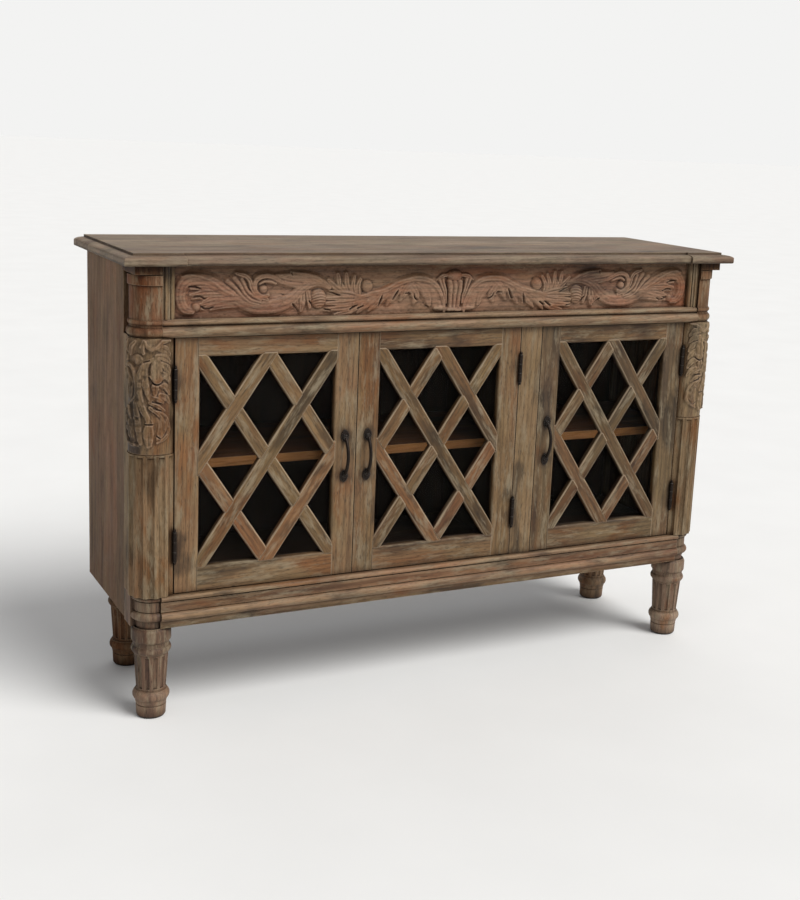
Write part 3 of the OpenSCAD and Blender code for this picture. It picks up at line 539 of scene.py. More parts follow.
# %% Wrought iron
def wrought_iron(name, seed):
    material, tree = new_material(name)
    place = add(tree, "TexCoord").outputs["Object"]
    place = add(tree, "Mapping", Vector=place, Location=(seed, 2 * seed, 0))
    scale = add(tree, "TexNoise", Vector=place, Scale=420.0, Detail=5.0, Roughness=0.7)
    hammer = add(tree, "TexVoronoi", {"feature": "SMOOTH_F1"}, Vector=place, Scale=170.0)
    soft = add(tree, "Bevel", {"samples": 4}, Radius=0.0012)
    normal = add(tree, "NewGeometry").outputs["Normal"]
    flat = add(tree, "VectorMath", {"operation": "DOT_PRODUCT"}, _0=soft, _1=normal)
    scale_shades = ((0.3, "#15110f"), (0.55, "#2b2521"), (0.75, "#4b3b30"))
    black = add(tree, "ValToRGB", {"stops": scale_shades}, Fac=scale)
    colour = coat(tree, black, [("rub", tone("#8c8882"), flat.outputs["Value"], ((0.8, 0.5), (0.99, 0.0)))])
    rough = add(tree, "ValToRGB", {"stops": ((0.3, 0.62), (0.7, 0.38))}, Fac=scale)
    height = add(tree, "Math", {"operation": "MULTIPLY_ADD"}, _0=hammer, _1=0.8, _2=scale)
    bump = add(tree, "Bump", Height=height, Strength=0.5, Distance=0.0008, Normal=soft)
    shader = add(tree, "BsdfPrincipled", Base_Color=colour, Roughness=rough, Normal=bump, Metallic=0.85)
    add(tree, "OutputMaterial", Surface=shader)
    return material


iron_parts = ["case_hinge_leaves_and_pins"]
for door in DOOR_NAMES:
    iron_parts += [door + "_handle", door + "_hinge_leaves"]
for number, name in enumerate(iron_parts):
    label = "wrought iron, hammered, " + name.replace("_", " ")
    finish(name, wrought_iron(label, number + 3), "wrought_iron")
print("iron:", len(iron_parts), "nodes")

# %% [markdown]
# The panes are plain 3 mm float glass, IOR 1.52, smoky with dust on the inside. The dust film is
# near black, so it also paints shade over the cupboard's inside. A full refracting glass is slow
# and, in a pane this thin, shifts what is behind it by under a millimetre, so a mostly clear surface
# with a sharp reflection gives the same picture. Its reflection is kept faint, because the
# photographed room was dark and this studio is pale.

# %% Glass
def dusty_glass(name, seed):
    material, tree = new_material(name)
    place = add(tree, "Mapping", Vector=add(tree, "TexCoord").outputs["Object"], Location=(seed, 0, seed))
    film = add(tree, "TexNoise", Vector=place, Scale=7.0, Detail=6.0, Roughness=0.7)
    speck = add(tree, "TexNoise", Vector=place, Scale=600.0, Detail=2.0)
    dust = add(tree, "Math", {"operation": "MULTIPLY"}, _0=film, _1=speck)
    # the film's near-black colour is dust and also painted shade over the inside
    colour = add(tree, "ValToRGB", {"stops": ((0.15, "#070605"), (0.42, "#1d1914"))}, Fac=dust)
    rough = add(tree, "ValToRGB", {"stops": ((0.15, 0.03), (0.45, 0.16))}, Fac=dust)
    cover = add(tree, "ValToRGB", {"stops": ((0.15, 0.12), (0.45, 0.24))}, Fac=dust)
    shader = add(tree, "BsdfPrincipled", Base_Color=colour, Roughness=rough, Alpha=cover, IOR=1.52,
                 Specular_IOR_Level=0.12)
    add(tree, "OutputMaterial", Surface=shader)
    return material


for number, door in enumerate(DOOR_NAMES):
    label = "float glass, dusty, " + door.replace("_", " ")
    finish(door + "_glass", dusty_glass(label, number), "glass")
print("panes:", len(DOOR_NAMES))

# %% [markdown]
# Two small fittings are bought in. The strike plates are steel, brushed and then plated with zinc,
# which dulls with age: a full metal, roughness 0.3 to 0.5, with lines 0.5 mm apart. The catches are
# brown nylon from a mould whose spark-eroded grain is 0.4 mm wide. Both could be left plain, since
# they show only with a door open, but then an open door would look unfinished.

# %% Plated steel and nylon
def plated_steel(name, seed):
    material, tree = new_material(name)
    place = add(tree, "Mapping", Vector=add(tree, "TexCoord").outputs["Object"], Location=(seed, 0, 0))
    lines = add(tree, "VectorMath", {"operation": "MULTIPLY"}, _0=place, _1=(60, 2000, 2000))
    brushed = add(tree, "TexNoise", Vector=lines, Scale=1.0, Detail=2.0)
    colour = add(tree, "ValToRGB", {"stops": ((0.3, "#77756f"), (0.7, "#b3b1aa"))}, Fac=brushed)
    rough = add(tree, "ValToRGB", {"stops": ((0.3, 0.32), (0.7, 0.5))}, Fac=brushed)
    shader = add(tree, "BsdfPrincipled", Base_Color=colour, Roughness=rough, Metallic=1.0)
    add(tree, "OutputMaterial", Surface=shader)
    return material


def moulded_nylon(name):
    material, tree = new_material(name)
    grain = add(tree, "TexNoise", Vector=add(tree, "TexCoord").outputs["Object"], Scale=2400.0, Detail=2.0)
    colour = add(tree, "ValToRGB", {"stops": ((0.3, "#2a1d15"), (0.7, "#3b2a20"))}, Fac=grain)
    rough = add(tree, "ValToRGB", {"stops": ((0.3, 0.42), (0.7, 0.55))}, Fac=grain)
    bump = add(tree, "Bump", Height=grain, Strength=0.3, Distance=0.0002)
    shader = add(tree, "BsdfPrincipled", Base_Color=colour, Roughness=rough, Normal=bump)
    add(tree, "OutputMaterial", Surface=shader)
    return material


for number, door in enumerate(DOOR_NAMES):
    label = "zinc plated steel, brushed, " + door
    finish(door + "_strike_plate", plated_steel(label, number), "plate_steel")
finish("magnetic_catches", moulded_nylon("nylon, moulded, catches"), "catch_housing")
print("small fittings:", len(DOOR_NAMES) + 1)

# %% [markdown]
# ## Relief carving
# The frieze is one board. The carver draws a running acanthus scroll on it, sinks the ground 10 mm
# around the drawing, then models each leaf with gouges. Sculpting by hand would not be repeatable
# and displacement from a picture would need an image, so the carver's own order is followed: a
# height field, one stroke of the gouge at a time. A stroke has a spine, a width and a rise at each
# point, and a section: round for a bud, hollow for a leaf, reeded for a stem with that many ridges.

# %% The spine of a stroke
def spine_curve(points, step=0.7):
    """A smooth curve through the points, in equal steps of some 0.7 mm, with how far along each is."""
    p = np.array(points, float)
    p = np.vstack([2 * p[0] - p[1], p, 2 * p[-1] - p[-2]])
    pieces = []
    for a, b, c, d in zip(p[:-3], p[1:-2], p[2:-1], p[3:]):
        count = max(2, int(np.hypot(*(c - b)) / step))
        t = np.linspace(0, 1, count, endpoint=False)[:, None]
        pieces.append(0.5 * (2 * b + (c - a) * t + (2 * a - 5 * b + 4 * c - d) * t ** 2
                             + (3 * b - a - 3 * c + d) * t ** 3))
    curve = np.vstack(pieces + [p[-2:-1]])
    gone = np.concatenate([[0], np.cumsum(np.hypot(*np.diff(curve, axis=0).T))])
    return curve, gone / gone[-1]


print("a spine 40 mm long:", len(spine_curve([(0, 0), (20, 5), (40, 0)])[0]), "steps")


# %% The section of a stroke
def section(form, u):
    """Height of a stroke's section, from its middle (u = 0) to its edges (u = -1 and 1)."""
    dome = np.sqrt(np.clip(1 - u * u, 0, 1))
    if form == "round":
        return dome
    if form == "mass":
        return dome ** 1.6
    if form == "leaf":
        # steep walls, a shallow dome, a gouged vein and one half a little higher
        wall = np.clip((1 - np.abs(u)) / 0.3, 0, 1) ** 0.5
        vein = np.exp(-(u / 0.16) ** 2)
        return wall * (0.66 + 0.34 * dome - 0.26 * vein + 0.08 * u)
    ridges = int(form[4:])
    v = np.mod((u + 1) / 2 * ridges, 1) * 2 - 1
    return dome ** 0.6 * (0.82 + 0.18 * np.sqrt(np.clip(1 - v * v, 0, 1)))


print("a leaf from vein to edge:", [round(float(h), 2) for h in section("leaf", np.linspace(0, 1, 5))])

# %% [markdown]
# A carver first leaves the leaves standing as one soft mass, and only then cuts each one. Doing the
# same here fills the gaps between the strokes with rounded wood, where separate strokes alone would
# leave flat ground. A slit cuts into what the list has raised so far, as a dark pocket under a tip.

# %% One stroke of the gouge
# points at a time, so that the table of distances to the spine stays small
BATCH = 4000


def carve(height, across, up, form, points, widths, rises):
    """Raises one stroke out of the height field, or cuts a slit into it."""
    curve, along = spine_curve(points)
    heading = np.gradient(curve, axis=0)
    heading /= np.hypot(*heading.T)[:, None] + 1e-9
    reach = max(widths) + 1
    near = ((across > curve[:, 0].min() - reach) & (across < curve[:, 0].max() + reach)
            & (up > curve[:, 1].min() - reach) & (up < curve[:, 1].max() + reach))
    rows, columns = np.nonzero(near)
    for start in range(0, len(rows), BATCH):
        r = rows[start:start + BATCH]
        c = columns[start:start + BATCH]
        gap_x = across[r, c][:, None] - curve[None, :, 0]
        gap_z = up[r, c][:, None] - curve[None, :, 1]
        away = gap_x ** 2 + gap_z ** 2
        nearest = away.argmin(1)
        pick = (np.arange(len(r)), nearest)
        side = np.sign(heading[nearest, 0] * gap_z[pick] - heading[nearest, 1] * gap_x[pick])
        t = along[nearest]
        width = np.interp(t, np.linspace(0, 1, len(widths)), widths)
        rise = np.interp(t, np.linspace(0, 1, len(rises)), rises)
        u = side * np.sqrt(away[pick]) / width
        if form == "slit":
            height[r, c] -= np.where(np.abs(u) < 1, np.minimum(rise, height[r, c]) * (1 - u * u), 0)
        else:
            height[r, c] = np.maximum(height[r, c], np.where(np.abs(u) < 1, rise * section(form, u), 0))


def model(strokes, across, up, rough):
    """Roughs the leaves out as one soft mass, then models every stroke on it, in the carver's order."""
    height = np.zeros_like(across)
    for form, points, widths, rises in strokes:
        if form != "slit":
            wide = [1.4 * w + 2 for w in widths]
            carve(height, across, up, "mass", points, wide, [rough * r for r in rises])
    for form, points, widths, rises in strokes:
        fuller = 1.0 if form == "slit" else 1.12
        carve(height, across, up, form, points, [fuller * w for w in widths], rises)
    return height


def boss(height, across, up, middle, radii, rise, grooves=0, turn=0.0):
    """Raises a domed boss, plain or with curved grooves across it."""
    dx = (across - middle[0]) / radii[0]
    dz = (up - middle[1]) / radii[1]
    dome = rise * np.sqrt(np.clip(1 - dx * dx - dz * dz, 0, 1))
    if grooves:
        lean = dz * math.cos(turn) + dx * math.sin(turn) + 0.25 * dx * dx
        dome = dome * (0.88 + 0.12 * np.cos(grooves * math.pi * lean))
    np.maximum(height, dome, out=height)


print("a stroke is cut at", BATCH, "points at a time")


# %% What the hand adds
def soften(height):
    """Rounds a height field as sanding does: each point moves to the mean of its neighbours."""
    padded = np.pad(height, 1, mode="edge")
    return (padded[1:-1, 1:-1] * 4 + padded[:-2, 1:-1] + padded[2:, 1:-1]
            + padded[1:-1, :-2] + padded[1:-1, 2:]) / 8


def waver(shape, seed, spread):
    """Slow random waviness, so that the two halves differ as hand work does."""
    rng = np.random.default_rng(seed)
    rough = rng.standard_normal((shape[0] // spread + 3, shape[1] // spread + 3))
    rows = np.linspace(0, rough.shape[0] - 1.001, shape[0])
    columns = np.linspace(0, rough.shape[1] - 1.001, shape[1])
    r = np.floor(rows).astype(int)
    c = np.floor(columns).astype(int)
    up = (rows - r)[:, None]
    right = (columns - c)[None, :]
    up = up * up * (3 - 2 * up)
    right = right * right * (3 - 2 * right)
    low = rough[r][:, c] * (1 - right) + rough[r][:, c + 1] * right
    high = rough[r + 1][:, c] * (1 - right) + rough[r + 1][:, c + 1] * right
    return low * (1 - up) + high * up


ripple = waver((90, 90), 1, 30)
print("waviness: from", round(float(ripple.min()), 2), "to", round(float(ripple.max()), 2))

# %% [markdown]
# The drawing is a list of strokes, in millimetres from the middle and from the floor: where the
# spine goes, how wide the stroke is to each side and how high it stands. Only one half is drawn.
# The other half is its mirror image, as a carver turns one paper pattern over.

# %% The frieze's drawing
FRIEZE_STROKES = [
    # the leaf that arches up beside the vase, its lobes hanging like shingles from the upper rib
    ("reed2", [(84, 926), (60, 916), (44, 898), (40, 874)], [8, 14, 16, 14], [6, 8, 8, 7]),
    ("reed2", [(100, 926), (80, 912), (66, 894), (62, 876)], [6, 10, 11, 6], [6, 8, 8, 6]),
    ("reed3", [(118, 925), (104, 910), (96, 894), (100, 880)], [6, 12, 11, 4], [6, 8.5, 8, 5]),
    ("reed3", [(98, 928), (117, 914), (125, 902), (133, 886)], [6, 11, 9, 3], [6, 9, 8, 5]),
    ("reed3", [(122, 922), (143, 908), (153, 896), (164, 876)], [6, 12, 10, 3], [6, 9, 8, 5]),
    ("reed3", [(148, 911), (175, 897), (190, 884), (207, 866)], [6, 12, 10, 3], [6, 9, 8, 5]),
    ("reed2", [(180, 902), (205, 888), (220, 876), (233, 861)], [6, 11, 9, 3], [6, 8.5, 8, 5]),
    ("reed2", [(205, 893), (232, 882), (246, 870), (262, 860)], [6, 11, 9, 4], [6, 8, 8, 5]),
    ("slit", [(58, 864), (69, 873), (80, 872)], [2, 2.5, 1], [9, 9, 4]),
    ("slit", [(79, 881), (96, 889), (100, 900)], [2, 2.5, 1], [9, 9, 4]),
    ("reed2", [(25, 860), (27, 880), (35, 899), (47, 916), (67, 929), (92, 934), (118, 931), (142, 922),
               (172, 908), (205, 901), (240, 893)], [4, 5, 6, 6.5, 7, 7, 7, 7, 6, 5, 4],
     [9, 10, 11, 11, 10, 9, 8]),
    ("round", [(20, 864), (32, 868), (48, 868)], [5, 8, 5], [8, 10, 8]),
    # the fan that it ends in: long blades towards the second stem, short ones upwards
    ("leaf", [(228, 880), (252, 865), (286, 858)], [6, 9, 3], [7, 8, 6]),
    ("leaf", [(228, 885), (258, 874), (306, 870)], [6, 8, 4], [7, 9, 7]),
    ("leaf", [(228, 889), (262, 884), (306, 882)], [6, 8, 4], [7, 9.5, 7]),
    ("leaf", [(228, 892), (262, 893), (306, 893)], [6, 8, 4], [7, 9.5, 7]),
    ("leaf", [(226, 894), (258, 902), (298, 909)], [6, 8, 3], [7, 9.5, 6]),
    ("leaf", [(232, 890), (236, 915), (229, 934)], [6, 7, 4], [6, 8, 6]),
    ("leaf", [(238, 890), (247, 915), (243, 940)], [6, 7, 3], [6, 8, 6]),
    ("leaf", [(244, 891), (259, 917), (262, 945)], [6, 7, 4], [6, 8, 6]),
    ("leaf", [(250, 893), (274, 918), (281, 944)], [6, 8, 4], [6, 8, 6]),
    ("leaf", [(256, 897), (285, 917), (302, 932)], [6, 8, 4], [6, 8, 6]),
    ("slit", [(273, 944), (271, 934), (273, 920)], [1.5, 2.2, 1], [8, 8, 3]),
    # the pair of long leaves over the second stem
    ("reed2", [(352, 925), (368, 922), (392, 925), (421, 932)], [6, 7, 6, 3], [8, 9, 8, 6]),
    ("reed2", [(330, 925), (361, 934), (388, 938), (428, 942)], [6, 9, 8, 3], [8, 9.5, 9, 6]),
    ("reed2", [(300, 918), (332, 934), (360, 943), (388, 948)], [6, 8, 6, 2.5], [8, 9.5, 9, 6]),
    ("slit", [(386, 948), (385, 941)], [1.4, 1], [6, 3]),
    # the drop of small leaves under it
    ("leaf", [(350, 908), (347, 891), (344, 874)], [6, 7, 3], [7, 8, 6]),
    ("leaf", [(376, 906), (377, 888), (372, 872)], [6, 7, 3], [7, 8, 6]),
    ("leaf", [(362, 908), (363, 890), (365, 869)], [6, 9, 4], [8, 9.5, 7]),
    # the end scroll: a broad ribbon that rolls over, with feathers in its hollow
    ("leaf", [(548, 916), (577, 919), (603, 918)], [5, 6, 3], [7, 8, 6]),
    ("leaf", [(544, 911), (574, 911), (604, 905)], [5, 6, 3], [7, 8, 6]),
    ("leaf", [(538, 905), (568, 905), (597, 899)], [5, 6, 3], [7, 8, 6]),
    ("leaf", [(524, 899), (556, 899), (576, 891)], [5, 6, 3], [7, 8, 6]),
    ("leaf", [(508, 890), (544, 893), (586, 885)], [6, 8, 3], [7, 8, 6]),
    ("leaf", [(508, 885), (546, 885), (581, 876)], [6, 7, 3], [7, 8, 6]),
    ("leaf", [(504, 882), (532, 881), (558, 875)], [6, 6, 3], [7, 8, 6]),
    ("slit", [(607, 922), (594, 922), (584, 917)], [1.5, 2.2, 1], [8, 8, 3]),
    ("slit", [(599, 899), (584, 901), (572, 896)], [1.5, 2.2, 1], [8, 8, 3]),
    ("reed3", [(515, 903), (542, 920), (566, 932), (589, 937), (610, 933), (622, 921), (626, 905),
               (623, 889), (614, 876), (600, 872)], [9, 10, 11, 11.5, 12, 12, 11.5, 11, 10, 7],
     [9, 10, 10, 10, 9]),
    ("round", [(620, 941), (605, 945), (587, 943), (571, 937), (554, 928), (536, 915), (515, 903)],
     [3, 4, 4.5, 4.5, 5, 5, 5], [8, 10, 11, 11.5, 11.5, 11, 10]),
    # the second stem, with the strands that feed it
    ("reed3", [(548, 889), (511, 895), (490, 887), (466, 880), (438, 878), (410, 882), (386, 895),
               (371, 910), (354, 921), (334, 926), (314, 924), (300, 917)],
     [5, 10, 13, 14.5, 14.5, 14, 14, 13, 11, 9, 7, 5], [8, 9.5, 10, 10, 10, 10, 9.5, 8]),
    ("round", [(527, 932), (517, 924), (507, 914), (495, 901), (478, 889), (458, 883)],
     [6, 5, 4.5, 4.5, 4, 3], [8, 10, 10.5, 11]),
    ("round", [(511, 937), (503, 928), (496, 917), (488, 904), (473, 893), (454, 888)],
     [6, 5, 4.5, 4.5, 4, 3], [8, 10, 10.5, 11]),
    ("round", [(495, 935), (490, 924), (484, 912), (473, 902), (454, 892)], [5, 4.5, 4.5, 4, 3],
     [8, 9.5, 10.5, 11]),
    ("leaf", [(506, 947), (488, 942), (478, 932), (475, 921), (469, 909), (457, 899), (440, 893)],
     [3, 5, 5, 5, 5, 5, 4], [7, 9, 9.5, 10]),
    # the middle scroll and its eye
    ("reed2", [(408, 928), (424, 936), (437, 941), (450, 941), (461, 936), (467, 926), (467, 914),
               (461, 905), (450, 899), (438, 901)], [5, 6, 6, 6, 6, 6, 5.5, 5, 4.5, 4],
     [8, 10, 10, 10, 10]),
    ("round", [(422, 925), (435, 930), (447, 930), (456, 925)], [3, 4, 4, 3], [9, 10, 10, 9]),
    ("slit", [(445, 925), (431, 920), (427, 911), (419, 905), (404, 902)], [2, 2.8, 2.8, 2.8, 1.5],
     [8, 10, 10, 9, 6]),
    ("slit", [(309, 909), (293, 906), (277, 900)], [2, 2.6, 1.5], [9, 10, 5]),
    # the pockets cut in beneath the tips of the leaves, where the picture is darkest
    ("slit", [(184, 875), (181, 886), (177, 898)], [3, 3.4, 1.2], [9, 10, 4]),
    ("slit", [(150, 888), (145, 897), (139, 909)], [3, 3.2, 1.2], [9, 10, 4]),
    ("slit", [(115, 878), (117, 889), (110, 900), (122, 901)], [2.5, 3.2, 2.6, 1.2], [9, 10, 9, 4]),
    ("slit", [(97, 890), (88, 884), (77, 880)], [1.5, 3, 2], [8, 10, 6]),
    ("slit", [(84, 870), (73, 874), (63, 870)], [1.5, 3, 2], [8, 10, 6]),
    ("slit", [(252, 869), (243, 875), (236, 878)], [2.5, 3, 1.2], [9, 10, 4]),
    ("slit", [(234, 871), (222, 877)], [2.5, 1.5], [9, 6]),
    ("slit", [(346, 888), (336, 877), (320, 872), (297, 868)], [1.5, 3, 3.2, 1.6], [8, 10, 10, 6]),
    ("slit", [(386, 884), (379, 877), (371, 867)], [1.5, 3, 2.5], [8, 10, 9]),
    ("slit", [(597, 902), (584, 902), (571, 897)], [1.5, 2.6, 1.2], [9, 10, 4]),
    ("slit", [(608, 921), (597, 921), (581, 917)], [1.5, 2.8, 1.2], [9, 10, 4]),
    ("slit", [(584, 884), (569, 876), (553, 880)], [1.5, 3, 1.5], [9, 10, 5]),
]
# middle, radii, rise, grooves and their turn
FRIEZE_BOSSES = [
    ((213, 918), (14, 15), 10, 0, 0),
    ((324, 893), (19, 22), 11.5, 7, 0.1),
    ((362, 884), (8, 9), 10.5, 0, 0),
    ((448, 913), (10, 10), 11, 0, 0),
    ((591, 880), (10, 10), 11, 0, 0),
]
print("drawing:", len(FRIEZE_STROKES), "strokes and", len(FRIEZE_BOSSES), "bosses")

# %% [markdown]
# The drawing is laid 4 mm to the left of the middle, bent a little at random, and mirrored. The
# vase between the halves is drawn whole. The board is then sanded once, which rounds every edge by
# about a millimetre, and a faint ripple is left on the ground as a gouge leaves it. Points 1.25 mm
# apart show the veins of the leaves. A finer grid would add nothing at the picture's 2 mm pixels.

# %% Carving the frieze
GRID_MM = 1.25
LAID_LEFT = 4
HALF_WIDTH = 640
BOARD_FOOT = 820.0
CARVED_FROM = 857
BOARD_TOP = 966
columns = np.arange(-HALF_WIDTH, HALF_WIDTH + GRID_MM / 2, GRID_MM)
rows = np.arange(CARVED_FROM, BOARD_TOP + GRID_MM / 2, GRID_MM)
rows[-1] = BOARD_TOP
X, Z = np.meshgrid(columns, rows)
bent_x = X + LAID_LEFT + 1.3 * waver(X.shape, 1, 36)
bent_z = Z + 0.8 * waver(X.shape, 2, 36)
relief = model(FRIEZE_STROKES, np.abs(bent_x), bent_z, rough=0.6)
for middle, radii, rise, grooves, turn in FRIEZE_BOSSES:
    boss(relief, np.abs(bent_x), bent_z, middle, radii, rise, grooves, turn)
print("scrolls:", len(FRIEZE_STROKES), "strokes on", relief.shape, "points")

# %% The vase in the middle
for reed in (-1, 0, 1):
    spine = [(reed * 9.5, 866), (reed * 10.5, 890), (reed * 12.5, 926)]
    carve(relief, bent_x, bent_z, "round", spine, [6, 6.6, 8], [9, 10, 10.5])
for side in (-1, 1):
    for out in (0, 1):
        spine = [(side * (19 + 2 * out), 878), (side * (22 + 5 * out), 902), (side * (31 + 9 * out), 932)]
        carve(relief, bent_x, bent_z, "round", spine, [2, 3.4, 5], [7, 8, 8])
    spine = [(side * 20, 941), (side * 33, 938), (side * 46, 929)]
    carve(relief, bent_x, bent_z, "leaf", spine, [4, 5, 2], [8, 9, 5])
carve(relief, bent_x, bent_z, "round", [(-15, 864), (15, 864)], [6, 6], [10.5, 10.5])
boss(relief, bent_x, bent_z, (0, 940), (21, 12), 14)
relief *= 1 + 0.08 * waver(X.shape, 5, 9)
relief = 0.85 * soften(relief)
relief += 0.25 * waver(X.shape, 3, 5) * (relief < 1) + 0.12 * waver(X.shape, 4, 3)
print("frieze relief: up to", round(float(relief.max()), 1), "mm proud")

# %% [markdown]
# A height field alone is an open skin. The real board has a thickness, so two rows of points are
# set behind its lower and upper edge and the skin is closed round them. A solidify modifier could
# do this, but it would follow every leaf on the back, which on a real board is flat.

# %% Boards with relief
def relief_piece(name, front, back, material, slot, body):
    """A closed board: a grid of front points, and two rows of points behind its lower and upper edge."""
    rows, columns = front.shape[:2]
    points = np.vstack([front.reshape(-1, 3), back[0], back[1]]) / 1000
    grid = np.arange(rows * columns).reshape(rows, columns)
    low = rows * columns + np.arange(columns)
    high = low + columns
    quads = [np.stack([grid[:-1, :-1], grid[:-1, 1:], grid[1:, 1:], grid[1:, :-1]], -1).reshape(-1, 4)]
    quads.append(np.stack([low[:-1], high[:-1], high[1:], low[1:]], -1))
    quads.append(np.stack([low[:-1], low[1:], grid[0, 1:], grid[0, :-1]], -1))
    quads.append(np.stack([high[1:], high[:-1], grid[-1, :-1], grid[-1, 1:]], -1))
    faces = np.vstack(quads).tolist()
    faces.append([low[0]] + grid[:, 0].tolist() + [high[0]])
    faces.append([high[-1]] + grid[::-1, -1].tolist() + [low[-1]])
    mesh = bpy.data.meshes.new(name)
    mesh.from_pydata(points.tolist(), [], faces)
    mesh.shade_smooth()
    mesh.set_sharp_from_angle(angle=math.radians(70))
    mesh.materials.append(material)
    piece = bpy.data.objects.new(name, mesh)
    bpy.context.collection.objects.link(piece)
    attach(piece, body)
    return piece


def points_at(x, y, z):
    """Points from three fields of one shape, or from numbers that hold for all of them."""
    return np.stack(np.broadcast_arrays(x, y, z), -1)


# the board's face and back stand this far in front of the middle of the sideboard, in millimetres
FACE_Y = -175.9
BACK_Y = -155.9
FRIEZE_TONES = ("#73513d", "#8c6a54", "#a0816d")
frieze_front = np.vstack([points_at(columns, FACE_Y, BOARD_FOOT)[None], points_at(X, FACE_Y - relief, Z)])
frieze_back = (points_at(columns, BACK_Y, BOARD_FOOT), points_at(columns, BACK_Y, BOARD_TOP))
# bands: painted shadow of the top's lip on the frieze's upper edge
frieze_wood = limed_wood("limed mango, relief carved, frieze", "across", FRIEZE_TONES, seed=71, lime=0.25,
                         hollow=-0.2, relief=True, bloom=0.42, bands=FRIEZE_BANDS)
frieze = relief_piece("carved_frieze", frieze_front, frieze_back, frieze_wood, "frieze_wood", "case")
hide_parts("frieze_panel")
print("frieze:", len(frieze.data.polygons), "faces")

# %% [markdown]
# ## The carved posts
# Above the flutes each corner post carries a spray of leaves that climbs round the shaft to a bud.
# The same strokes work on a round post when the drawing is wrapped round it: its width in
# millimetres becomes an angle, and its height stays. The spray is a shallow skin, 6 mm at most and
# 4 mm beside the door that swings past it. Its edge dives into the turned shaft, as an applied
# carving would be let in. The left post's drawing is mirrored for the right one.

# %% The spray's drawing
POST_STROKES = [
    # broad leaves round the side
    ("leaf", [(-80, 756), (-68, 730), (-66, 698)], [10, 13, 9], [3, 3.6, 3]),
    ("round", [(-84, 757), (-68, 763), (-54, 757), (-47, 740), (-46, 718), (-52, 698), (-67, 685)],
     [4, 4, 4.5, 5, 5, 4, 3], [4, 4, 4]),
    ("leaf", [(-72, 672), (-66, 640), (-56, 610)], [10, 14, 8], [3, 3.6, 3]),
    ("round", [(-80, 672), (-84, 640), (-76, 615), (-60, 603), (-42, 601)], [3, 4, 4.5, 4.5, 3],
     [4, 4, 4]),
    ("leaf", [(-50, 814), (-60, 801), (-62, 786)], [4, 7, 4], [3, 4, 3]),
    ("leaf", [(-74, 816), (-78, 796), (-72, 774)], [4, 8, 4], [3, 4, 3]),
    ("leaf", [(-30, 816), (-33, 804), (-30, 792)], [4, 7, 4], [3, 4, 3]),
    # lobes along the inner edge
    ("leaf", [(-2, 802), (14, 798), (27, 787)], [6, 9, 4], [3.2, 4, 3]),
    ("leaf", [(-2, 786), (14, 782), (27, 771)], [6, 9, 4], [3.2, 4, 3]),
    ("leaf", [(6, 769), (17, 762), (27, 750)], [6, 8, 4], [3.2, 4, 3]),
    ("leaf", [(8, 750), (18, 744), (27, 731)], [5, 8, 4], [3.2, 4, 3]),
    ("leaf", [(4, 729), (16, 722), (26, 708)], [6, 9, 4], [3.2, 4, 3]),
    ("leaf", [(4, 706), (16, 700), (26, 688)], [6, 8, 4], [3.2, 4, 3]),
    ("leaf", [(2, 662), (9, 640), (0, 616)], [7, 11, 6], [2.4, 3, 2.6]),
    ("round", [(0, 674), (15, 661), (22, 645), (22, 628), (12, 616), (-3, 608)], [3, 4, 4.5, 4.5, 4, 3],
     [4, 4.4, 4]),
    # the main stem and the hanging tongue with its turned-up tip
    ("reed2", [(-48, 694), (-45, 660), (-41, 630), (-36, 606)], [6, 8, 8, 5], [3.5, 4, 3.6]),
    ("reed3", [(-30, 768), (-39, 742), (-40, 715), (-36, 691), (-27, 668), (-16, 648)],
     [5, 7, 8, 8, 7, 5], [4, 4.4, 4.4, 4.2]),
    ("reed2", [(-10, 780), (-22, 770), (-27, 752), (-26, 730), (-20, 706), (-10, 690)],
     [4, 6, 7, 7, 6, 4], [3.4, 4, 4, 3.6]),
    ("leaf", [(-4, 776), (-4, 756), (-5, 738)], [9, 12, 12], [3.4, 4.2, 4.4]),
    ("round", [(-17, 741), (-5, 734), (9, 741)], [4, 5, 4], [4.4, 4.6, 4.4]),
    ("leaf", [(-6, 730), (-7, 720), (-7, 708)], [6, 9, 5], [3.4, 4.2, 3]),
    ("slit", [(-19, 741), (-14, 731), (-4, 727), (9, 733)], [2, 2.6, 2.4, 1.5], [5, 5, 5, 3]),
    ("leaf", [(-16, 701), (-2, 698), (11, 691)], [4, 5.5, 3], [3.4, 4.2, 3]),
    ("leaf", [(-16, 690), (0, 683), (13, 673)], [4, 5.5, 3], [3.4, 4.2, 3]),
    ("leaf", [(-16, 680), (-3, 669), (8, 654)], [4, 5.5, 3], [3.4, 4.2, 3]),
    ("slit", [(-11, 692), (5, 688)], [1.8, 1.2], [5, 4]),
    ("slit", [(-9, 679), (6, 673)], [1.8, 1.2], [5, 4]),
    ("slit", [(-11, 670), (2, 656)], [2, 1.2], [5, 4]),
    ("slit", [(11, 717), (21, 708)], [2, 1.2], [5, 4]),
    # the folded leaf at the top and the tongue that ends the spray
    ("round", [(-26, 814), (-21, 804), (-9, 801), (2, 806), (10, 813), (26, 816)], [3, 4.5, 5, 5, 4, 3],
     [4, 4.5, 4.5, 4]),
    ("leaf", [(-19, 650), (-21, 630), (-19, 604)], [8, 12, 7], [3.6, 4.5, 4]),
    ("slit", [(-30, 646), (-12, 646)], [1.6, 1.6], [4, 4]),
    ("slit", [(-4, 622), (3, 617)], [2, 1.4], [4, 3]),
    ("slit", [(-30, 773), (-17, 777)], [2.4, 1.6], [5, 4]),
]
print("spray:", len(POST_STROKES), "strokes")

# %% [markdown]
# The left spray is warm and the right one greyer, as more light reached it. Each gets its own bends,
# so the two aren't twins. A grid of 1 mm is enough for leaves whose narrowest slit is 2 mm.

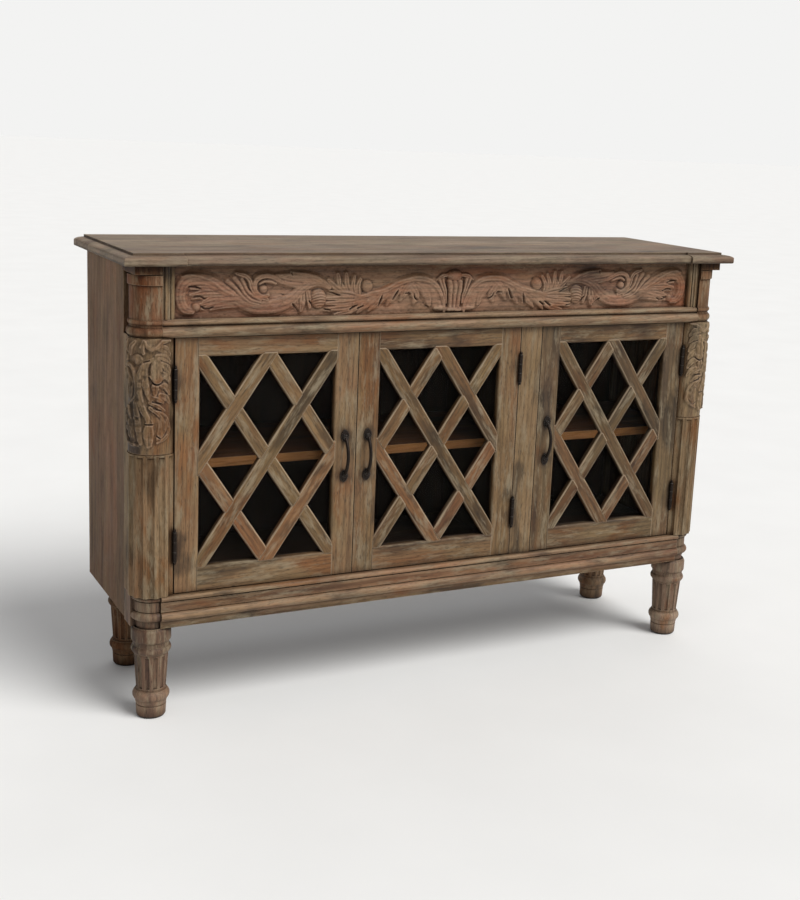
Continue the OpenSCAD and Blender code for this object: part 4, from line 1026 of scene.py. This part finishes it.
# %% Carving the posts
# in millimetres: the turned shaft's radius, the radius that the drawing is wrapped at, how deep the
# spray's edge dives, how thick its skin is, and where the post's axis stands
SHAFT_R = 47.5
WRAP_R = 50
LET_IN = 0.6
SKIN = 2.5
POST_X = 677.5
POST_Y = -149.9
SPRAYS = (
    ("post_carving_left", -1, ("#5f4833", "#7a6145", "#897457"), 0.3),
    ("post_carving_right", 1, ("#69533c", "#866f51", "#968466"), 0.1),
)


def round_post(side, radius, around, level):
    """Points at a radius from a post's axis, where around is the drawing's width in millimetres."""
    angle = around / WRAP_R
    return points_at(side * (POST_X - radius * np.sin(angle)), POST_Y - radius * np.cos(angle), level)


around = np.arange(-88, 31, 1.0)
levels = np.arange(581, 820, 1.0)
A, H = np.meshgrid(around, levels)
to_edge = np.minimum.reduce([A - A.min(), A.max() - A, H - H.min(), H.max() - H])
# full height on the outer side, less where the door passes
proud = np.interp(A, (-10, 8), (1.4, 1.0))
for number, (name, side, tones, bloom) in enumerate(SPRAYS):
    bent_a = A + 1.0 * waver(A.shape, 10 + number, 30)
    bent_h = H + 1.0 * waver(A.shape, 20 + number, 30)
    spray = model(POST_STROKES, bent_a, bent_h, rough=0.4)
    boss(spray, bent_a, bent_h, (-44, 778), (13, 12), 4.6, grooves=2, turn=0.7)
    spray *= 1 + 0.3 * waver(A.shape, 40 + number, 8)
    spray = soften(spray) + 0.15 + 0.12 * waver(A.shape, 30 + number, 4)
    spray = np.clip(spray, 0.1, 4.4) * proud
    front = round_post(side, SHAFT_R - LET_IN + (spray + LET_IN) * np.clip(to_edge / 2, 0, 1), A, H)
    behind = [round_post(side, SHAFT_R - SKIN, around, level) for level in (levels[0], levels[-1])]
    if side > 0:
        front = front[:, ::-1]
        behind = [row[::-1] for row in behind]
    wood = limed_wood("limed mango, relief carved, " + name, "up", tones, seed=80 + number, lime=0.25,
                      hollow=0.6, relief=True, bloom=bloom)
    piece = relief_piece(name, front, behind, wood, "carved_wood", "case")
    print(name, len(piece.data.polygons), "faces, up to", round(float(spray.max()), 1), "mm proud")

# %% [markdown]
# ## Floor and light
# A studio would stand the sideboard on a pale sweep with one large soft light in front, high and to
# the right, and let the left side fall into shade. A small lamp would cut hard shadows that the
# picture does not have. Panels of light could be hung round it, but they dim with distance and show
# in the glass, so two very wide suns shine instead, like parts of a bright overcast sky. The floor
# is matt paint from a roller, and its faint mottling is some 300 mm across.

# %% Floor
FLOOR_REACH = 60.0
floor_mesh = bpy.data.meshes.new("floor")
corners = [(FLOOR_REACH * x, FLOOR_REACH * y, 0) for x, y in ((-1, -1), (1, -1), (1, 1), (-1, 1))]
floor_mesh.from_pydata(corners, [], [(0, 1, 2, 3)])
floor = bpy.data.objects.new("floor", floor_mesh)
bpy.context.collection.objects.link(floor)
floor_paint, tree = new_material("studio floor, matt paint")
roller = add(tree, "TexNoise", Vector=add(tree, "TexCoord").outputs["Object"], Scale=3.0, Detail=4.0)
colour = add(tree, "ValToRGB", {"stops": ((0.3, "#e8e8e7"), (0.7, "#ebebea"))}, Fac=roller)
shader = add(tree, "BsdfPrincipled", Base_Color=colour, Roughness=0.9, Specular_IOR_Level=0.1)
add(tree, "OutputMaterial", Surface=shader)
floor_mesh.materials.append(floor_paint)
floor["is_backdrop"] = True
print("floor:", 2 * FLOOR_REACH, "m wide")

# %% Lights
# name, strength, width in degrees, colour, and the way it shines
SUNS = (
    ("sky key", 2.95, 36, "#fffefc", (-0.34, 0.58, -0.74)),
    ("back fill", 0.45, 70, "#ffffff", (-0.45, -0.75, -0.5)),
)
for name, strength, spread, shade, way in SUNS:
    sun_data = bpy.data.lights.new(name, "SUN")
    sun_data.energy = strength
    sun_data.angle = math.radians(spread)
    sun_data.color = tone(shade)[:3]
    sun = bpy.data.objects.new(name, sun_data)
    sun.rotation_euler = Vector(way).to_track_quat("-Z", "Y").to_euler()
    bpy.context.collection.objects.link(sun)

# %% [markdown]
# The studio's walls light the sideboard faintly from all sides, and the camera sees them as a pale
# backdrop. One plain background would do for both, but then the walls that look right behind the
# sideboard would light it too strongly, so the camera sees its own.

# %% Backdrop
world = bpy.data.worlds.new("studio")
bpy.context.scene.world = world
world.use_nodes = True
tree = world.node_tree
tree.nodes.clear()
ambient = add(tree, "Background", Color=tone("#fdfdfe"), Strength=0.36)
seen = add(tree, "Background", Color=tone("#f3f3f2"), Strength=1.0)
mixed = add(tree, "MixShader", Fac=add(tree, "LightPath").outputs["Is Camera Ray"], _1=ambient, _2=seen)
add(tree, "OutputWorld", Surface=mixed)
bpy.context.scene.view_settings.view_transform = "Standard"
print("backdrop:", world.name)

# %% Size
whole_box = [list(corner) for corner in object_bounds()]
print("whole model's box:", [[round(v, 4) for v in corner] for corner in whole_box])
